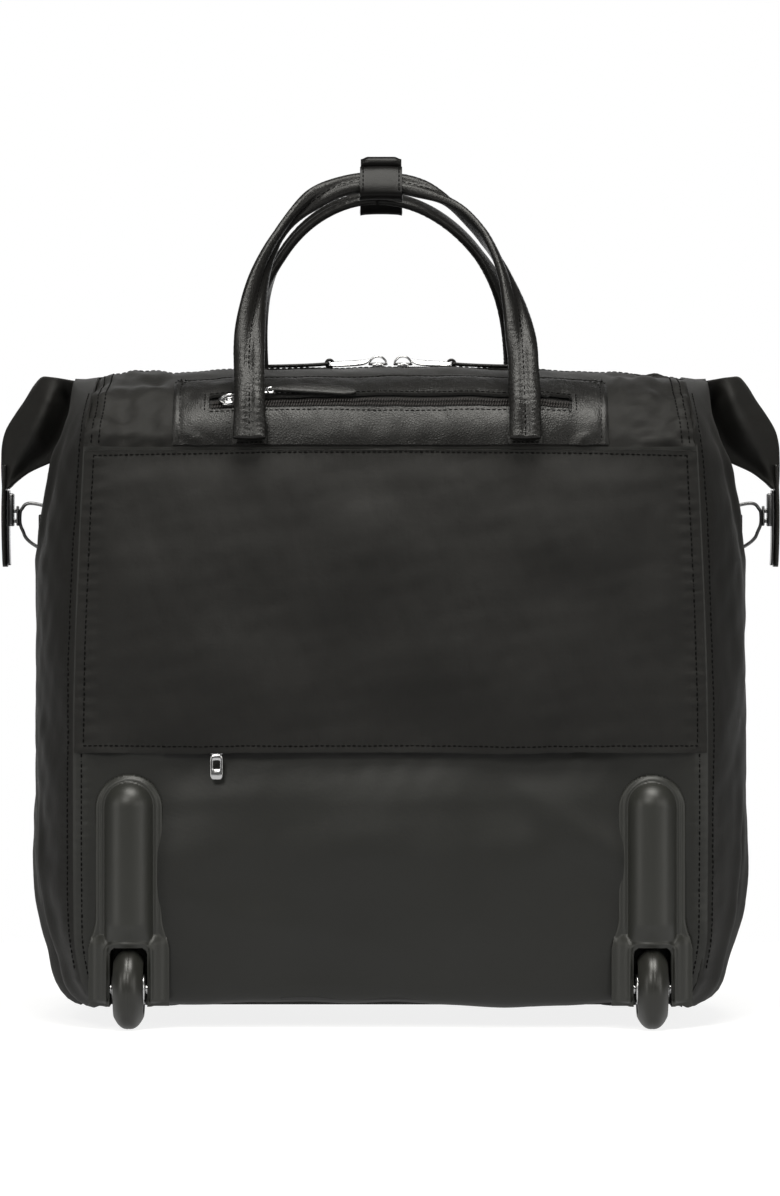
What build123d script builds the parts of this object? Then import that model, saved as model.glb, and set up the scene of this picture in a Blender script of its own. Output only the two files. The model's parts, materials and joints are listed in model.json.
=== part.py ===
from build123d import *
import math
import os

# A rolling laptop case: a soft tote body on two rear wheels and two front feet, with a
# two-stage trolley behind the rear wall, two carry handles and folded side wings.
# Millimetres. +Z is up, the floor is Z = 0, the wheels are at the rear (-Y).
# Everything is drawn about the body's mid-plane, and export() moves it by MID_Y so that
# the whole object's box is centred on the origin.

# ---- driving dimensions ----
WHEEL_R = 25.0
WHEEL_W = 20.0
WHEEL_X = 162.0
AXLE_Y = -103.0
AXLE_R = 3.0
AXLE_HEAD_R = 4.6
HUB_R = 17.0
RACE_R = 8.0
RACE_W = 5.0
SPINE_R = 15.2           # half-round ridge down each housing
HOUSING_T = 4.0
ARCH_HALF = 11.7         # half the width of the opening round the wheel
SCREW_AT = (18.2, (62.0, 128.0))     # across from the wheel's middle, and heights
SCREW_R = 1.5

HALF_DEPTH = 100.0       # mid-plane to the outer face of the front and rear panels
PANEL_HALF = 195.0       # mid-plane to the seam between panel and gusset
BELLY_HALF = 226.0       # mid-plane to the gusset's outermost line
FOOT_HALF = 213.0        # the same at the bottom of the gusset
TOP_HALF = 216.0         # the same where the gusset passes into the roof
BASE_Z = 14.0            # underside of the body
SHOULDER_Z = 361.0       # where the panels pass into the roof
ROOF_RISE = 53.5         # shoulder to ridge
WALL = 3.0
PANEL_T = 3.5            # front, rear and bottom panels
SKIN = 1.6               # leather laid on the nylon
LEATHER_HALF = 135.5
BOARD_HALF = 186.0       # stiffening boards inside
BOARD_T = 3.0
DIVIDER = ((-170.0, 170.0), (-41.0, -35.0), (20.5, 290.0))
FOOT_AT = (150.0, 80.0)

ZIP_GAP = 9.0            # half the opening along the ridge
CHAIN_TOP = 415.5        # top of the closed main zip

POCKET_HALF = 191.0
POCKET_LOW = 173.0
POCKET_TOP = 360.0
POCKET_GAP = 6.0         # what the pocket holds
POCKET_WALL = 2.0
POCKET_ZIP = (-140.0, 112.0)

TROLLEY_Y = -84.0
TUBE_X = 52.0
TUBE_RADII = (10.0, 8.5, 7.0)        # outer, middle and inner stage
TUBE_WALL = 1.2
TUBE_BOTTOMS = (24.0, 30.0, 36.0)
TUBE_TOPS = (350.0, 352.0, 358.0)
GRIP_HALF = 70.0
GRIP_DEPTH = 14.0
GRIP_Z = (354.0, 376.0)
SLOT_HALF = 113.0        # half the length of the trolley's zipped slot
SLOT_Y = (-94.0, -74.0)
SLOT_TAPE = 1.5

HANDLE_X = 85.5          # mid-plane to the middle of a handle's leg
HANDLE_W = 19.0
HANDLE_T = 8.0
HANDLE_LEG = 56.0        # straight part of the leg
HANDLE_ARCH = 137.0      # rise of the arch above the legs, to the band's middle
HANDLE_PIVOT = (110.0, 366.0)        # distance from the mid-plane, and height
HANDLE_LEAN = 30.55
WRAP_HALF = 14.0
WRAP_T = 2.0

MAIN_PULL = 30.0         # length of the metal pull, then of its leather tab
MAIN_TAB = 41.0
SLOT_PULL = 26.0
SLOT_TAB = 60.0
SLOT_TAB_START = 14.0
SLOT_TAB_RISE = 20.8     # up the slope, to clear the tubes that come out of the slot
SLOT_PULL_BEND = 55.0
POCKET_PULL = 18.0

WING_PIVOT = (220.0, 402.0)
WING_ROLL = 3.0          # radius of the rolled edge that the wing folds about
WING_T = 8.0
WING_EDGE = (
    (219.5, 357.0), (219.5, 402.5), (224.0, 403.0), (234.0, 394.0), (246.5, 375.0),
    (249.5, 358.0), (249.5, 338.0), (244.5, 336.5), (219.5, 357.0),
)
RING_X = 227.6
RING_REACH = 10.4
RING_R = 1.25
RING_HEIGHTS = (299.0, 328.0, 323.5, 312.5)

# shift that centres the whole object's box, from the wheels to the front handle, on Y = 0
MID_Y = (WHEEL_R - AXLE_Y - HANDLE_PIVOT[0] - HANDLE_T / 2) / 2


def block(x, y, z):
    """A box from (low, high) pairs."""
    middle = [(a + b) / 2 for a, b in (x, y, z)]
    sides = [abs(b - a) for a, b in (x, y, z)]
    return Pos(*middle) * Box(*sides)


def rod_x(radius, x, y, z):
    """A cylinder along X from (low, high) x."""
    return Pos((x[0] + x[1]) / 2, y, z) * Rot(0, 90, 0) * Cylinder(radius, x[1] - x[0])


def rod_y(radius, x, y, z):
    """A cylinder along Y from (low, high) y."""
    return Pos(x, (y[0] + y[1]) / 2, z) * Rot(90, 0, 0) * Cylinder(radius, y[1] - y[0])


def rod_z(radius, x, y, z):
    """A cylinder along Z from (low, high) z."""
    return Pos(x, y, (z[0] + z[1]) / 2) * Cylinder(radius, z[1] - z[0])


def both_sides(shape):
    """The shape and its mirror image in X, as two separate solids."""
    return Compound(children=[shape, mirror(shape, about=Plane.YZ)])


def export(name, *shapes):
    """Writes one sub-part, moved so that the object's box is centred."""
    solids = [s for shape in shapes for s in shape.solids()]
    moved = [Pos(0, MID_Y, 0) * s for s in solids]
    whole = moved[0] if len(moved) == 1 else Compound(children=moved)
    export_step(whole, f"parts/{name}.step")


# ---- shapes of the soft body ----
def vault(grow):
    """Everything under the roof's outer surface moved out by grow, along the whole width."""
    with BuildSketch(Plane.YZ) as section:
        with Locations((0, SHOULDER_Z)):
            Ellipse(HALF_DEPTH + grow, ROOF_RISE + grow)
    oval = extrude(section.sketch, TOP_HALF + 20, both=True)
    return oval & block((-300, 300), (-200, 200), (SHOULDER_Z, SHOULDER_Z + 100))


def roof_band(inner, outer, half_width, y):
    """A strip of roof between two offsets of its outer surface."""
    strip = block((-half_width, half_width), y, (SHOULDER_Z, SHOULDER_Z + 100))
    return (vault(outer) - vault(inner)) & strip


def gusset_plan(z, belly, inset):
    """The gusset's plan at height z, bounded by its curve and the panels' edge."""
    reach = HALF_DEPTH - inset
    with BuildSketch(Plane.XY.offset(z)) as plan:
        with BuildLine():
            ThreePointArc((PANEL_HALF, -reach), (belly - inset, 0), (PANEL_HALF, reach))
            Line((PANEL_HALF, reach), (PANEL_HALF, -reach))
        make_face()
    return plan.sketch


def gusset():
    """The right-hand side of the body: bellied wall, narrowing to a cap under the roof's end."""
    stations = (
        (BASE_Z + PANEL_T, FOOT_HALF), (80, BELLY_HALF), (315, BELLY_HALF), (SHOULDER_Z, TOP_HALF),
    )
    outside = loft([gusset_plan(z, belly, 0) for z, belly in stations], ruled=True)
    inside = loft([gusset_plan(z, belly, WALL) for z, belly in stations], ruled=True)
    cap_out = extrude(gusset_plan(SHOULDER_Z, TOP_HALF, 0), 60) & vault(0)
    cap_in = extrude(gusset_plan(SHOULDER_Z, TOP_HALF, WALL), 60) & vault(-WALL)
    return (outside - inside) + (cap_out - cap_in)


def body_plan(z, height, grow):
    """A slab with the body's plan."""
    reach = HALF_DEPTH + grow
    side = PANEL_HALF
    belly = FOOT_HALF + grow
    with BuildSketch(Plane.XY.offset(z)) as plan:
        with BuildLine():
            Line((-side, -reach), (side, -reach))
            ThreePointArc((side, -reach), (belly, 0), (side, reach))
            Line((side, reach), (-side, reach))
            ThreePointArc((-side, reach), (-belly, 0), (-side, -reach))
        make_face()
    return extrude(plan.sketch, height)


def wheel_wells():
    """The space that the two housings' wells take out of the body."""
    well = block((WHEEL_X - 16.3, WHEEL_X + 16.3), (-HALF_DEPTH - 1, -73.5), (BASE_Z - 1, 57.0))
    return both_sides(well)


def screw_points():
    """Where each housing is screwed on, as (x, z)."""
    across, heights = SCREW_AT
    return [(WHEEL_X + side * across, z) for side in (-1, 1) for z in heights]


def housing_screws():
    """Screws put in from inside the rear panel."""
    screws = []
    for x, z in screw_points():
        inner = -HALF_DEPTH + PANEL_T
        shank = rod_y(SCREW_R, x, (-HALF_DEPTH - 2.5, inner), z)
        head = rod_y(3.2, x, (inner, inner + 1.6), z)
        screws.append(both_sides(shank + head))
    return screws


def pocket(side):
    """A flat pocket on the rear (-1) or front (+1) panel, closed below and at its sides."""
    face = HALF_DEPTH + POCKET_GAP + POCKET_WALL
    near = sorted((side * HALF_DEPTH, side * face))
    hollow_y = sorted((side * HALF_DEPTH, side * (face - POCKET_WALL)))
    slab = block((-POCKET_HALF, POCKET_HALF), near, (POCKET_LOW, POCKET_TOP))
    hollow = block(
        (-POCKET_HALF + POCKET_WALL, POCKET_HALF - POCKET_WALL), hollow_y, (POCKET_LOW + 3, POCKET_TOP + 5)
    )
    return slab - hollow


# ---- wheels ----
def wheel_housing():
    """The right-hand moulded housing: flange on the rear panel, half-round spine, and the well."""
    with BuildSketch(Plane.XZ.offset(HALF_DEPTH)) as outline:
        with BuildLine():
            Polyline((-21, 136.5), (-21, 69), (-25, 48), (-25, 15), (25, 15), (25, 48), (21, 69), (21, 136.5))
            ThreePointArc((21, 136.5), (0, 157.5), (-21, 136.5))
        make_face()
    flange = Pos(WHEEL_X, 0, 0) * extrude(outline.sketch, HOUSING_T)
    spine = rod_z(SPINE_R, WHEEL_X, AXLE_Y, (11.5, 137.8))
    spine += Pos(WHEEL_X, AXLE_Y, 137.8) * Sphere(SPINE_R)
    spine -= block((100, 220), (-HALF_DEPTH, 0), (0, 200))
    well = block((WHEEL_X - 15, WHEEL_X + 15), (-HALF_DEPTH, -74.0), (BASE_Z, 56.0))
    arch = block((WHEEL_X - ARCH_HALF, WHEEL_X + ARCH_HALF), (-140, -76.0), (0, 52.0))
    body = flange + spine + well
    body -= arch
    body -= rod_x(AXLE_R, (WHEEL_X - 20, WHEEL_X + 20), AXLE_Y, WHEEL_R)
    for side in (-1, 1):
        ends = sorted((WHEEL_X + side * 14.0, WHEEL_X + side * 20.0))
        body -= rod_x(AXLE_HEAD_R, ends, AXLE_Y, WHEEL_R)
    for x, z in screw_points():
        body -= rod_y(SCREW_R, x, (-HALF_DEPTH - 2.5, -HALF_DEPTH), z)
    return body


def axle():
    """A riveted axle with a head at each end."""
    pin = rod_x(AXLE_R, (WHEEL_X - 16.0, WHEEL_X + 16.0), AXLE_Y, WHEEL_R)
    heads = rod_x(AXLE_HEAD_R, (WHEEL_X - 16.0, WHEEL_X - 14.0), AXLE_Y, WHEEL_R)
    heads += rod_x(AXLE_HEAD_R, (WHEEL_X + 14.0, WHEEL_X + 16.0), AXLE_Y, WHEEL_R)
    return pin + heads


def tyre():
    tread = rod_x(WHEEL_R, (WHEEL_X - WHEEL_W / 2, WHEEL_X + WHEEL_W / 2), AXLE_Y, WHEEL_R)
    tread = fillet(tread.edges(), 5.0)
    return tread - rod_x(HUB_R, (WHEEL_X - 20, WHEEL_X + 20), AXLE_Y, WHEEL_R)


def hub():
    half = WHEEL_W / 2 - 0.5
    core = rod_x(HUB_R, (WHEEL_X - half, WHEEL_X + half), AXLE_Y, WHEEL_R)
    core -= rod_x(4.0, (WHEEL_X - 20, WHEEL_X + 20), AXLE_Y, WHEEL_R)
    for side in (-1, 1):
        seat = sorted((WHEEL_X + side * (half - RACE_W), WHEEL_X + side * 20))
        dish = sorted((WHEEL_X + side * (half - 2.0), WHEEL_X + side * 20))
        core -= rod_x(RACE_R, seat, AXLE_Y, WHEEL_R)
        core -= rod_x(14.0, dish, AXLE_Y, WHEEL_R) - rod_x(10.0, dish, AXLE_Y, WHEEL_R)
    return core


def bearings():
    """Two ball races per wheel, pressed into the hub and running on the axle."""
    races = []
    for side in (-1, 1):
        half = WHEEL_W / 2 - 0.5
        ends = sorted((WHEEL_X + side * (half - RACE_W), WHEEL_X + side * half))
        races.append(rod_x(RACE_R, ends, AXLE_Y, WHEEL_R) - rod_x(AXLE_R + 0.05, ends, AXLE_Y, WHEEL_R))
    return races


def front_foot():
    """A moulded foot under the front edge."""
    stud = Pos(*FOOT_AT, BASE_Z / 2) * Cone(13, 16, BASE_Z)
    return fillet(stud.edges().sort_by(Axis.Z)[0], 2.0)


# ---- trolley ----
def tube_pair(stage):
    """The two tubes of one trolley stage."""
    radius = TUBE_RADII[stage]
    z = (TUBE_BOTTOMS[stage], TUBE_TOPS[stage])
    tube = rod_z(radius, TUBE_X, TROLLEY_Y, z) - rod_z(radius - TUBE_WALL, TUBE_X, TROLLEY_Y, z)
    return both_sides(tube)


def bottom_bracket():
    """The moulded bridge that holds the feet of the outer tubes."""
    bridge = block((-68, 68), (-95.5, -73.2), (BASE_Z + PANEL_T, 34.0))
    sockets = rod_z(TUBE_RADII[0], TUBE_X, TROLLEY_Y, (TUBE_BOTTOMS[0], 60))
    return bridge - both_sides(sockets)


def top_collar():
    """The collar round the mouth of one outer tube."""
    collar = block((TUBE_X - 14, TUBE_X + 14), (-95.5, -73.2), (334.0, TUBE_TOPS[0]))
    return collar - rod_z(TUBE_RADII[0], TUBE_X, TROLLEY_Y, (330, 360))


def grip():
    """The trolley's grip, hollow for the button and its release bar."""
    y = (TROLLEY_Y - GRIP_DEPTH / 2, TROLLEY_Y + GRIP_DEPTH / 2)
    bar = block((-GRIP_HALF, GRIP_HALF), y, GRIP_Z)
    bar = fillet(bar.edges().filter_by(Axis.Y), 8.0)
    bar = fillet(bar.edges().group_by(Axis.Y)[0] + bar.edges().group_by(Axis.Y)[-1], 2.5)
    bar -= both_sides(rod_z(TUBE_RADII[2], TUBE_X, TROLLEY_Y, (350, TUBE_TOPS[2])))
    bar -= block((-55, 55), (TROLLEY_Y - 3.4, TROLLEY_Y + 3.4), (TUBE_TOPS[2], 366))
    bar -= block((-3.4, 3.4), (TROLLEY_Y - 2.4, TROLLEY_Y + 2.4), (366, 369))
    bar -= block((-15.4, 15.4), (TROLLEY_Y - 4.4, TROLLEY_Y + 4.4), (368, 380))
    return bar


def grip_button():
    cap = block((-15, 15), (TROLLEY_Y - 4, TROLLEY_Y + 4), (371, 377.6))
    cap = fillet(cap.edges().group_by(Axis.Z)[-1], 1.2)
    return cap + block((-3, 3), (TROLLEY_Y - 2, TROLLEY_Y + 2), (365, 371))


def release_bar():
    """The cross-bar under the button, with a rod down each inner tube."""
    bar = block((-54, 54), (TROLLEY_Y - 3, TROLLEY_Y + 3), (361, 365))
    return bar + both_sides(rod_z(2.0, TUBE_X, TROLLEY_Y, (60, 361)))


def slot_cutter():
    return block((-SLOT_HALF, SLOT_HALF), SLOT_Y, (SHOULDER_Z, SHOULDER_Z + 80))


def slot_tapes():
    """The two halves of the slot's zip, drawn back to the slot's lips."""
    lips = []
    for y in ((SLOT_Y[0], SLOT_Y[0] + SLOT_TAPE), (SLOT_Y[1] - SLOT_TAPE, SLOT_Y[1])):
        lips.append(roof_band(-WALL, SKIN, SLOT_HALF, y))
    return lips


# ---- zip sliders: chain along x, outward along z, the chain's top at z = 0 ----
def slider(pin_along_chain):
    body = block((-6, 6), (-4.6, 4.6), (0.4, 2.2))
    body = fillet(body.edges().filter_by(Axis.Z), 2.5)
    for side in (-1, 1):
        body += block((-4, 4), sorted((side * 3.4, side * 4.6)), (-1.6, 0.4))
    yoke = rod_y(0.7, 0, (-2.6, 2.6), 4.0)
    for side in (-1, 1):
        yoke += block((-1.8, 1.8), sorted((side * 2.4, side * 3.6)), (2.2, 5.4))
    if pin_along_chain:
        yoke = Rot(0, 0, 90) * yoke
    return body + yoke


def pull(length, bend=0.0):
    """A metal pull, lying along +x from the slider's pin, bent sideways beyond its arm."""
    eye = rod_y(1.4, 0, (-2.1, 2.1), 4.0)
    arm = block((0, 6), (-2.1, 2.1), (3.3, 4.7))
    plate = block((0, length - 5), (-3.6, 3.6), (3.3, 4.7))
    plate = fillet(plate.edges().filter_by(Axis.Z), 1.6)
    plate -= block((length - 13, length - 8), (-2, 2), (3, 5))
    plate = Pos(5, 0, 0) * Rot(0, 0, bend) * plate
    return eye + plate + arm - rod_y(0.76, 0, (-3, 3), 4.0)


def pull_tab(start, length):
    """The leather tab on the end of a pull."""
    strap = block((start, start + length), (-4.5, 4.5), (2.8, 5.2))
    return fillet(strap.edges().filter_by(Axis.Z).sort_by(Axis.X)[-2:], 4.0)


# ---- carry handles, drawn in their own plane: x across, y up the band, z its thickness ----
def arch_outline(offset):
    half = HANDLE_X + offset
    with BuildSketch() as face:
        with BuildLine():
            Line((-half, HANDLE_LEG), (-half, 0))
            Line((-half, 0), (half, 0))
            Line((half, 0), (half, HANDLE_LEG))
            EllipticalCenterArc((0, HANDLE_LEG), half, HANDLE_ARCH + offset, 0, arc_size=180)
        make_face()
    return face.sketch


def handle():
    outer = arch_outline(HANDLE_W / 2)
    inner = arch_outline(-HANDLE_W / 2)
    band = extrude(outer - inner, HANDLE_T / 2, both=True)
    leg_ends = rod_x(HANDLE_T / 2, (HANDLE_X - HANDLE_W / 2, HANDLE_X + HANDLE_W / 2), 0, 0)
    return band + leg_ends + mirror(leg_ends, about=Plane.YZ)


def wrap():
    """The leather sleeve sewn round the top of a handle."""
    top = HANDLE_LEG + HANDLE_ARCH
    x = (-WRAP_HALF, WRAP_HALF)
    outer_y = (top - HANDLE_W / 2 - 2.5, top + HANDLE_W / 2 + WRAP_T)
    sleeve = block(x, outer_y, (-HANDLE_T / 2 - WRAP_T, HANDLE_T / 2 + WRAP_T))
    sleeve = fillet(sleeve.edges().filter_by(Axis.X), 1.8)
    return sleeve - handle()


def flap():
    """The loose end of the rear sleeve, curled over its top edge."""
    top = HANDLE_LEG + HANDLE_ARCH + HANDLE_W / 2 + WRAP_T
    roll = block((-WRAP_HALF + 2, WRAP_HALF - 2), (top, top + 4.0), (-5.0, 2.0))
    return fillet(roll.edges().filter_by(Axis.X).group_by(Axis.Y)[-1], 1.9)


def lean(shape, side):
    """Stands a handle part up on the rear (-1) or front (+1) shoulder, leaning inwards."""
    out, height = HANDLE_PIVOT
    stood = Rot(90 - side * -HANDLE_LEAN, 0, 0) * shape
    return Pos(0, side * out, height) * stood


def handle_patches():
    """The sewn-down ends of the handles on both sides of the roof."""
    patches = []
    for side in (-1, 1):
        inner = SKIN if side < 0 else 0
        y = sorted((side * 80, side * 120))
        width = (HANDLE_X - HANDLE_W / 2, HANDLE_X + HANDLE_W / 2)
        ring = (vault(5.0) - vault(inner)) & block(width, y, (362.5, 366))
        patches.append(both_sides(ring))
    return patches


# ---- wings ----
def wing():
    """The right-hand folded corner of the top, a fin that hangs from its rolled upper edge."""
    with BuildSketch(Plane.XZ) as fin:
        with BuildLine():
            Polyline(*WING_EDGE)
        make_face()
    roll = rod_y(WING_ROLL, WING_PIVOT[0], (-WING_T / 2, WING_T / 2), WING_PIVOT[1])
    return extrude(fin.sketch, WING_T / 2, both=True) + roll


def wing_tab():
    strap = block((244.5, 249.5), (-9, 9), (285, 336.5))
    return fillet(strap.edges().filter_by(Axis.X).group_by(Axis.Z)[0], 8.0)


def wing_clip():
    """The metal plate on the tab's inner face, with the nose that reaches for the ring."""
    plate = block((243, 244.5), (-6.5, 6.5), (290, 324))
    return plate + block((239.4, 243), (-6, 6), (312, 324))


def ring():
    """A wire ring that swivels on its upright bar."""
    columns = (RING_X, RING_X, RING_X + RING_REACH, RING_X + RING_REACH)
    corners = list(zip(columns, RING_HEIGHTS))
    wire = None
    for (x0, z0), (x1, z1) in zip(corners, corners[1:] + corners[:1]):
        run = Vector(x1 - x0, 0, z1 - z0)
        place = Plane(origin=(x0, 0, z0), z_dir=run)
        piece = extrude(place * Circle(RING_R), run.length) + Pos(x0, 0, z0) * Sphere(RING_R)
        wire = piece if wire is None else wire + piece
    return wire


def ring_keeper():
    chape = block((BELLY_HALF, RING_X + 1.9), (-3.2, 3.2), (308.5, 318))
    return chape - rod_z(RING_R + 0.08, RING_X, 0, (300, 330))


# ---- the build ----
def build_shell():
    floor = BASE_Z + PANEL_T
    panel_z = (floor, SHOULDER_Z)
    inner = HALF_DEPTH - PANEL_T
    rear = block((-PANEL_HALF, PANEL_HALF), (-HALF_DEPTH, -inner), panel_z) - wheel_wells()
    for x, z in screw_points():
        rear -= both_sides(rod_y(SCREW_R, x, (-HALF_DEPTH, -inner), z))
    export("rear_panel", rear)
    export("front_panel", block((-PANEL_HALF, PANEL_HALF), (inner, HALF_DEPTH), panel_z))
    side = gusset()
    export("right_gusset", side)
    export("left_gusset", mirror(side, about=Plane.YZ))
    export("bottom_panel", body_plan(BASE_Z, PANEL_T, 0) - wheel_wells())
    across = (-BOARD_HALF, BOARD_HALF)
    export("base_board", block(across, (-69.8, 93), (floor, floor + BOARD_T)))
    export("back_board", block(across, (-70 - BOARD_T, -70), (floor + 0.5, 352)))
    export("laptop_divider", block(*DIVIDER))
    rear_roof = roof_band(-WALL, 0, PANEL_HALF, (-120, -ZIP_GAP)) - slot_cutter()
    export("rear_roof", rear_roof)
    export("front_roof", roof_band(-WALL, 0, PANEL_HALF, (ZIP_GAP, 120)))
    leather = roof_band(0, SKIN, LEATHER_HALF, (-120, -55)) - slot_cutter()
    export("rear_top_leather", leather & block((-200, 200), (-200, 0), (361.5, 450)))
    export("rear_pocket", pocket(-1))
    export("front_pocket", pocket(1))
    export("handle_patches", *handle_patches())


def build_wheels():
    pieces = {"wheel_housing": wheel_housing(), "tyre": tyre(), "hub": hub()}
    for name, shape in pieces.items():
        export(f"right_{name}", shape)
        export(f"left_{name}", mirror(shape, about=Plane.YZ))
    races = bearings()
    export("right_bearings", *races)
    export("left_bearings", *[mirror(race, about=Plane.YZ) for race in races])
    export("wheel_axles", both_sides(axle()))
    export("housing_screws", *housing_screws())
    export("front_feet", both_sides(front_foot()))


def build_trolley():
    export("trolley_outer_tubes", tube_pair(0))
    export("trolley_mid_tubes", tube_pair(1))
    export("trolley_inner_tubes", tube_pair(2))
    export("trolley_bottom_bracket", bottom_bracket())
    export("trolley_top_collars", both_sides(top_collar()))
    export("trolley_grip", grip())
    export("trolley_button", grip_button())
    export("trolley_release_rods", release_bar())
    export("trolley_zip_tapes", *slot_tapes())


def build_zips():
    tape_z = (CHAIN_TOP - 4.5, CHAIN_TOP - 2.5)
    tapes = [block((-PANEL_HALF, PANEL_HALF), y, tape_z) for y in ((-ZIP_GAP, -1.5), (1.5, ZIP_GAP))]
    chain = block((-190, 190), (-3, 3), (CHAIN_TOP - 2.5, CHAIN_TOP))
    export("main_zip", *tapes, chain)
    right = Pos(8, 0, CHAIN_TOP)
    for name, shape in (
        ("main_slider", slider(False)),
        ("main_pull", pull(MAIN_PULL)),
        ("main_tab", pull_tab(MAIN_PULL, MAIN_TAB)),
    ):
        placed = right * shape
        export(f"right_{name}", placed)
        export(f"left_{name}", mirror(placed, about=Plane.YZ))

    slope = math.degrees(math.acos(-TROLLEY_Y / HALF_DEPTH))
    slot_z = SHOULDER_Z + ROOF_RISE * math.sin(math.radians(slope))
    tilt = math.degrees(math.atan2(ROOF_RISE * math.cos(math.radians(slope)),
                                   HALF_DEPTH * math.sin(math.radians(slope))))
    on_slot = Pos(-101, TROLLEY_Y, slot_z - 1.5) * Rot(tilt, 0, 0)
    export("trolley_zip_slider", on_slot * slider(False))
    bent = pull(SLOT_PULL, SLOT_PULL_BEND)
    tab = Pos(0, SLOT_TAB_RISE, 0) * pull_tab(SLOT_TAB_START, SLOT_TAB)
    export("trolley_zip_pull", on_slot * bent)
    export("trolley_zip_tab", on_slot * (tab - bent))

    z = POCKET_LOW - 5
    tape = block(POCKET_ZIP, (-101.2, -HALF_DEPTH), (z - 5, z + 5))
    chain = block(POCKET_ZIP, (-103.2, -101.2), (z - 2, z + 2))
    export("rear_pocket_zip", tape, chain)
    on_pocket = Pos(-108, -103.2, z) * Rot(90, 0, 0)
    export("rear_pocket_slider", on_pocket * slider(True))
    export("rear_pocket_pull", on_pocket * Rot(0, 0, -90) * pull(POCKET_PULL))


def build_handles():
    for name, side in (("rear", -1), ("front", 1)):
        export(f"{name}_handle", lean(handle(), side))
    export("front_handle_wrap", lean(wrap(), 1))
    export("rear_handle_wrap", lean(wrap() + flap(), -1))


def build_wings():
    pieces = {"wing": wing(), "wing_tab": wing_tab(), "clip": wing_clip(), "ring": ring()}
    for name, shape in pieces.items():
        export(f"right_{name}", shape)
        export(f"left_{name}", mirror(shape, about=Plane.YZ))
    export("ring_keepers", both_sides(ring_keeper()))


os.makedirs("parts", exist_ok=True)
build_shell()
build_wheels()
build_trolley()
build_zips()
build_handles()
build_wings()
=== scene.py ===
import json
import math

import bmesh
import bpy
import numpy as np
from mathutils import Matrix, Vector


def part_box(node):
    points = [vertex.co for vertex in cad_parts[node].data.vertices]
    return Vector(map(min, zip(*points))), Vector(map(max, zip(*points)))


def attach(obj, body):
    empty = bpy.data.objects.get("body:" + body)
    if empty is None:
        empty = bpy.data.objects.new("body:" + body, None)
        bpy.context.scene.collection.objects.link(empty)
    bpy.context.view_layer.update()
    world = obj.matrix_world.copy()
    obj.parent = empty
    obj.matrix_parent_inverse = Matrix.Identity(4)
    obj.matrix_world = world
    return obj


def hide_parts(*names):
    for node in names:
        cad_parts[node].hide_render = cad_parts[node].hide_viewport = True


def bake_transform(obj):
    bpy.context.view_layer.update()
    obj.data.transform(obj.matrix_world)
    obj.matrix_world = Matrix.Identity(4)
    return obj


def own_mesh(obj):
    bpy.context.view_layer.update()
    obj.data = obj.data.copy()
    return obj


# A rolling laptop case in black cloth, leather and moulded plastic.
# Shapes are worked out in millimetres about the body's mid-plane: x to the right seen from
# the rear, y forwards, z up from the floor. to_row() turns them into the frame's metres.

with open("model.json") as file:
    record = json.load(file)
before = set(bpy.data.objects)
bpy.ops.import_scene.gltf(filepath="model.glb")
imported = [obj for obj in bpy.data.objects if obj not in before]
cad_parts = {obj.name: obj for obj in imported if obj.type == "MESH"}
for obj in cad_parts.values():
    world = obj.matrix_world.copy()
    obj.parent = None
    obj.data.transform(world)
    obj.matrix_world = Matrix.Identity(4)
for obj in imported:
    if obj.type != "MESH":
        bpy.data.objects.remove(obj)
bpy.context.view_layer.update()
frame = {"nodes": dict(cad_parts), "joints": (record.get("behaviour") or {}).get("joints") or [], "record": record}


# ---- places from the frame
def node_mm(name):
    """A CAD node's (low, high) corners in millimetres about the mid-plane."""
    low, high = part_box(name)
    shift = np.array([0.0, MID_Y, 0.0])
    return np.array(low) * 1000 - shift, np.array(high) * 1000 - shift


MID_Y = 500 * (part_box("front_panel")[1].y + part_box("rear_panel")[0].y)
HALF_DEPTH = node_mm("front_panel")[1][1]
SHOULDER = node_mm("front_panel")[1][2]
BASE = node_mm("bottom_panel")[0][2]
CHAIN_TOP = node_mm("main_zip")[1][2]
ROOF_RISE = 53.5
LEATHER_HALF = node_mm("rear_top_leather")[1][0]
SLOT_HALF = node_mm("trolley_zip_tapes")[1][0]
WHEEL_LOW, WHEEL_HIGH = node_mm("right_tyre")
WHEEL = (WHEEL_LOW + WHEEL_HIGH) / 2
WHEEL_R = (WHEEL_HIGH[2] - WHEEL_LOW[2]) / 2
JOINTS = {j["name"]: j for j in frame["joints"]}
ROOF = 1000  # a height v from here on is a place on the roof: ROOF + its share of the way up
SHELL_THICK = 1.6
REAR_FRONT = ((-1, "rear"), (1, "front"))
RIGHT_LEFT = ((1, "right"), (-1, "left"))
SEAM_STITCH = {"pitch": 3.3, "length": 2.4, "width": 0.95, "lift": 0.1}


def joint_mm(name):
    """A joint's place in millimetres about the mid-plane."""
    x, y, z = JOINTS[name]["pos_m"]
    return np.array([x * 1000, y * 1000 - MID_Y, z * 1000])


def to_row(points):
    """Millimetres about the mid-plane to metres in the row's frame."""
    out = np.array(points, float).reshape(-1, 3)
    out[:, 1] += MID_Y
    return out / 1000


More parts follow.
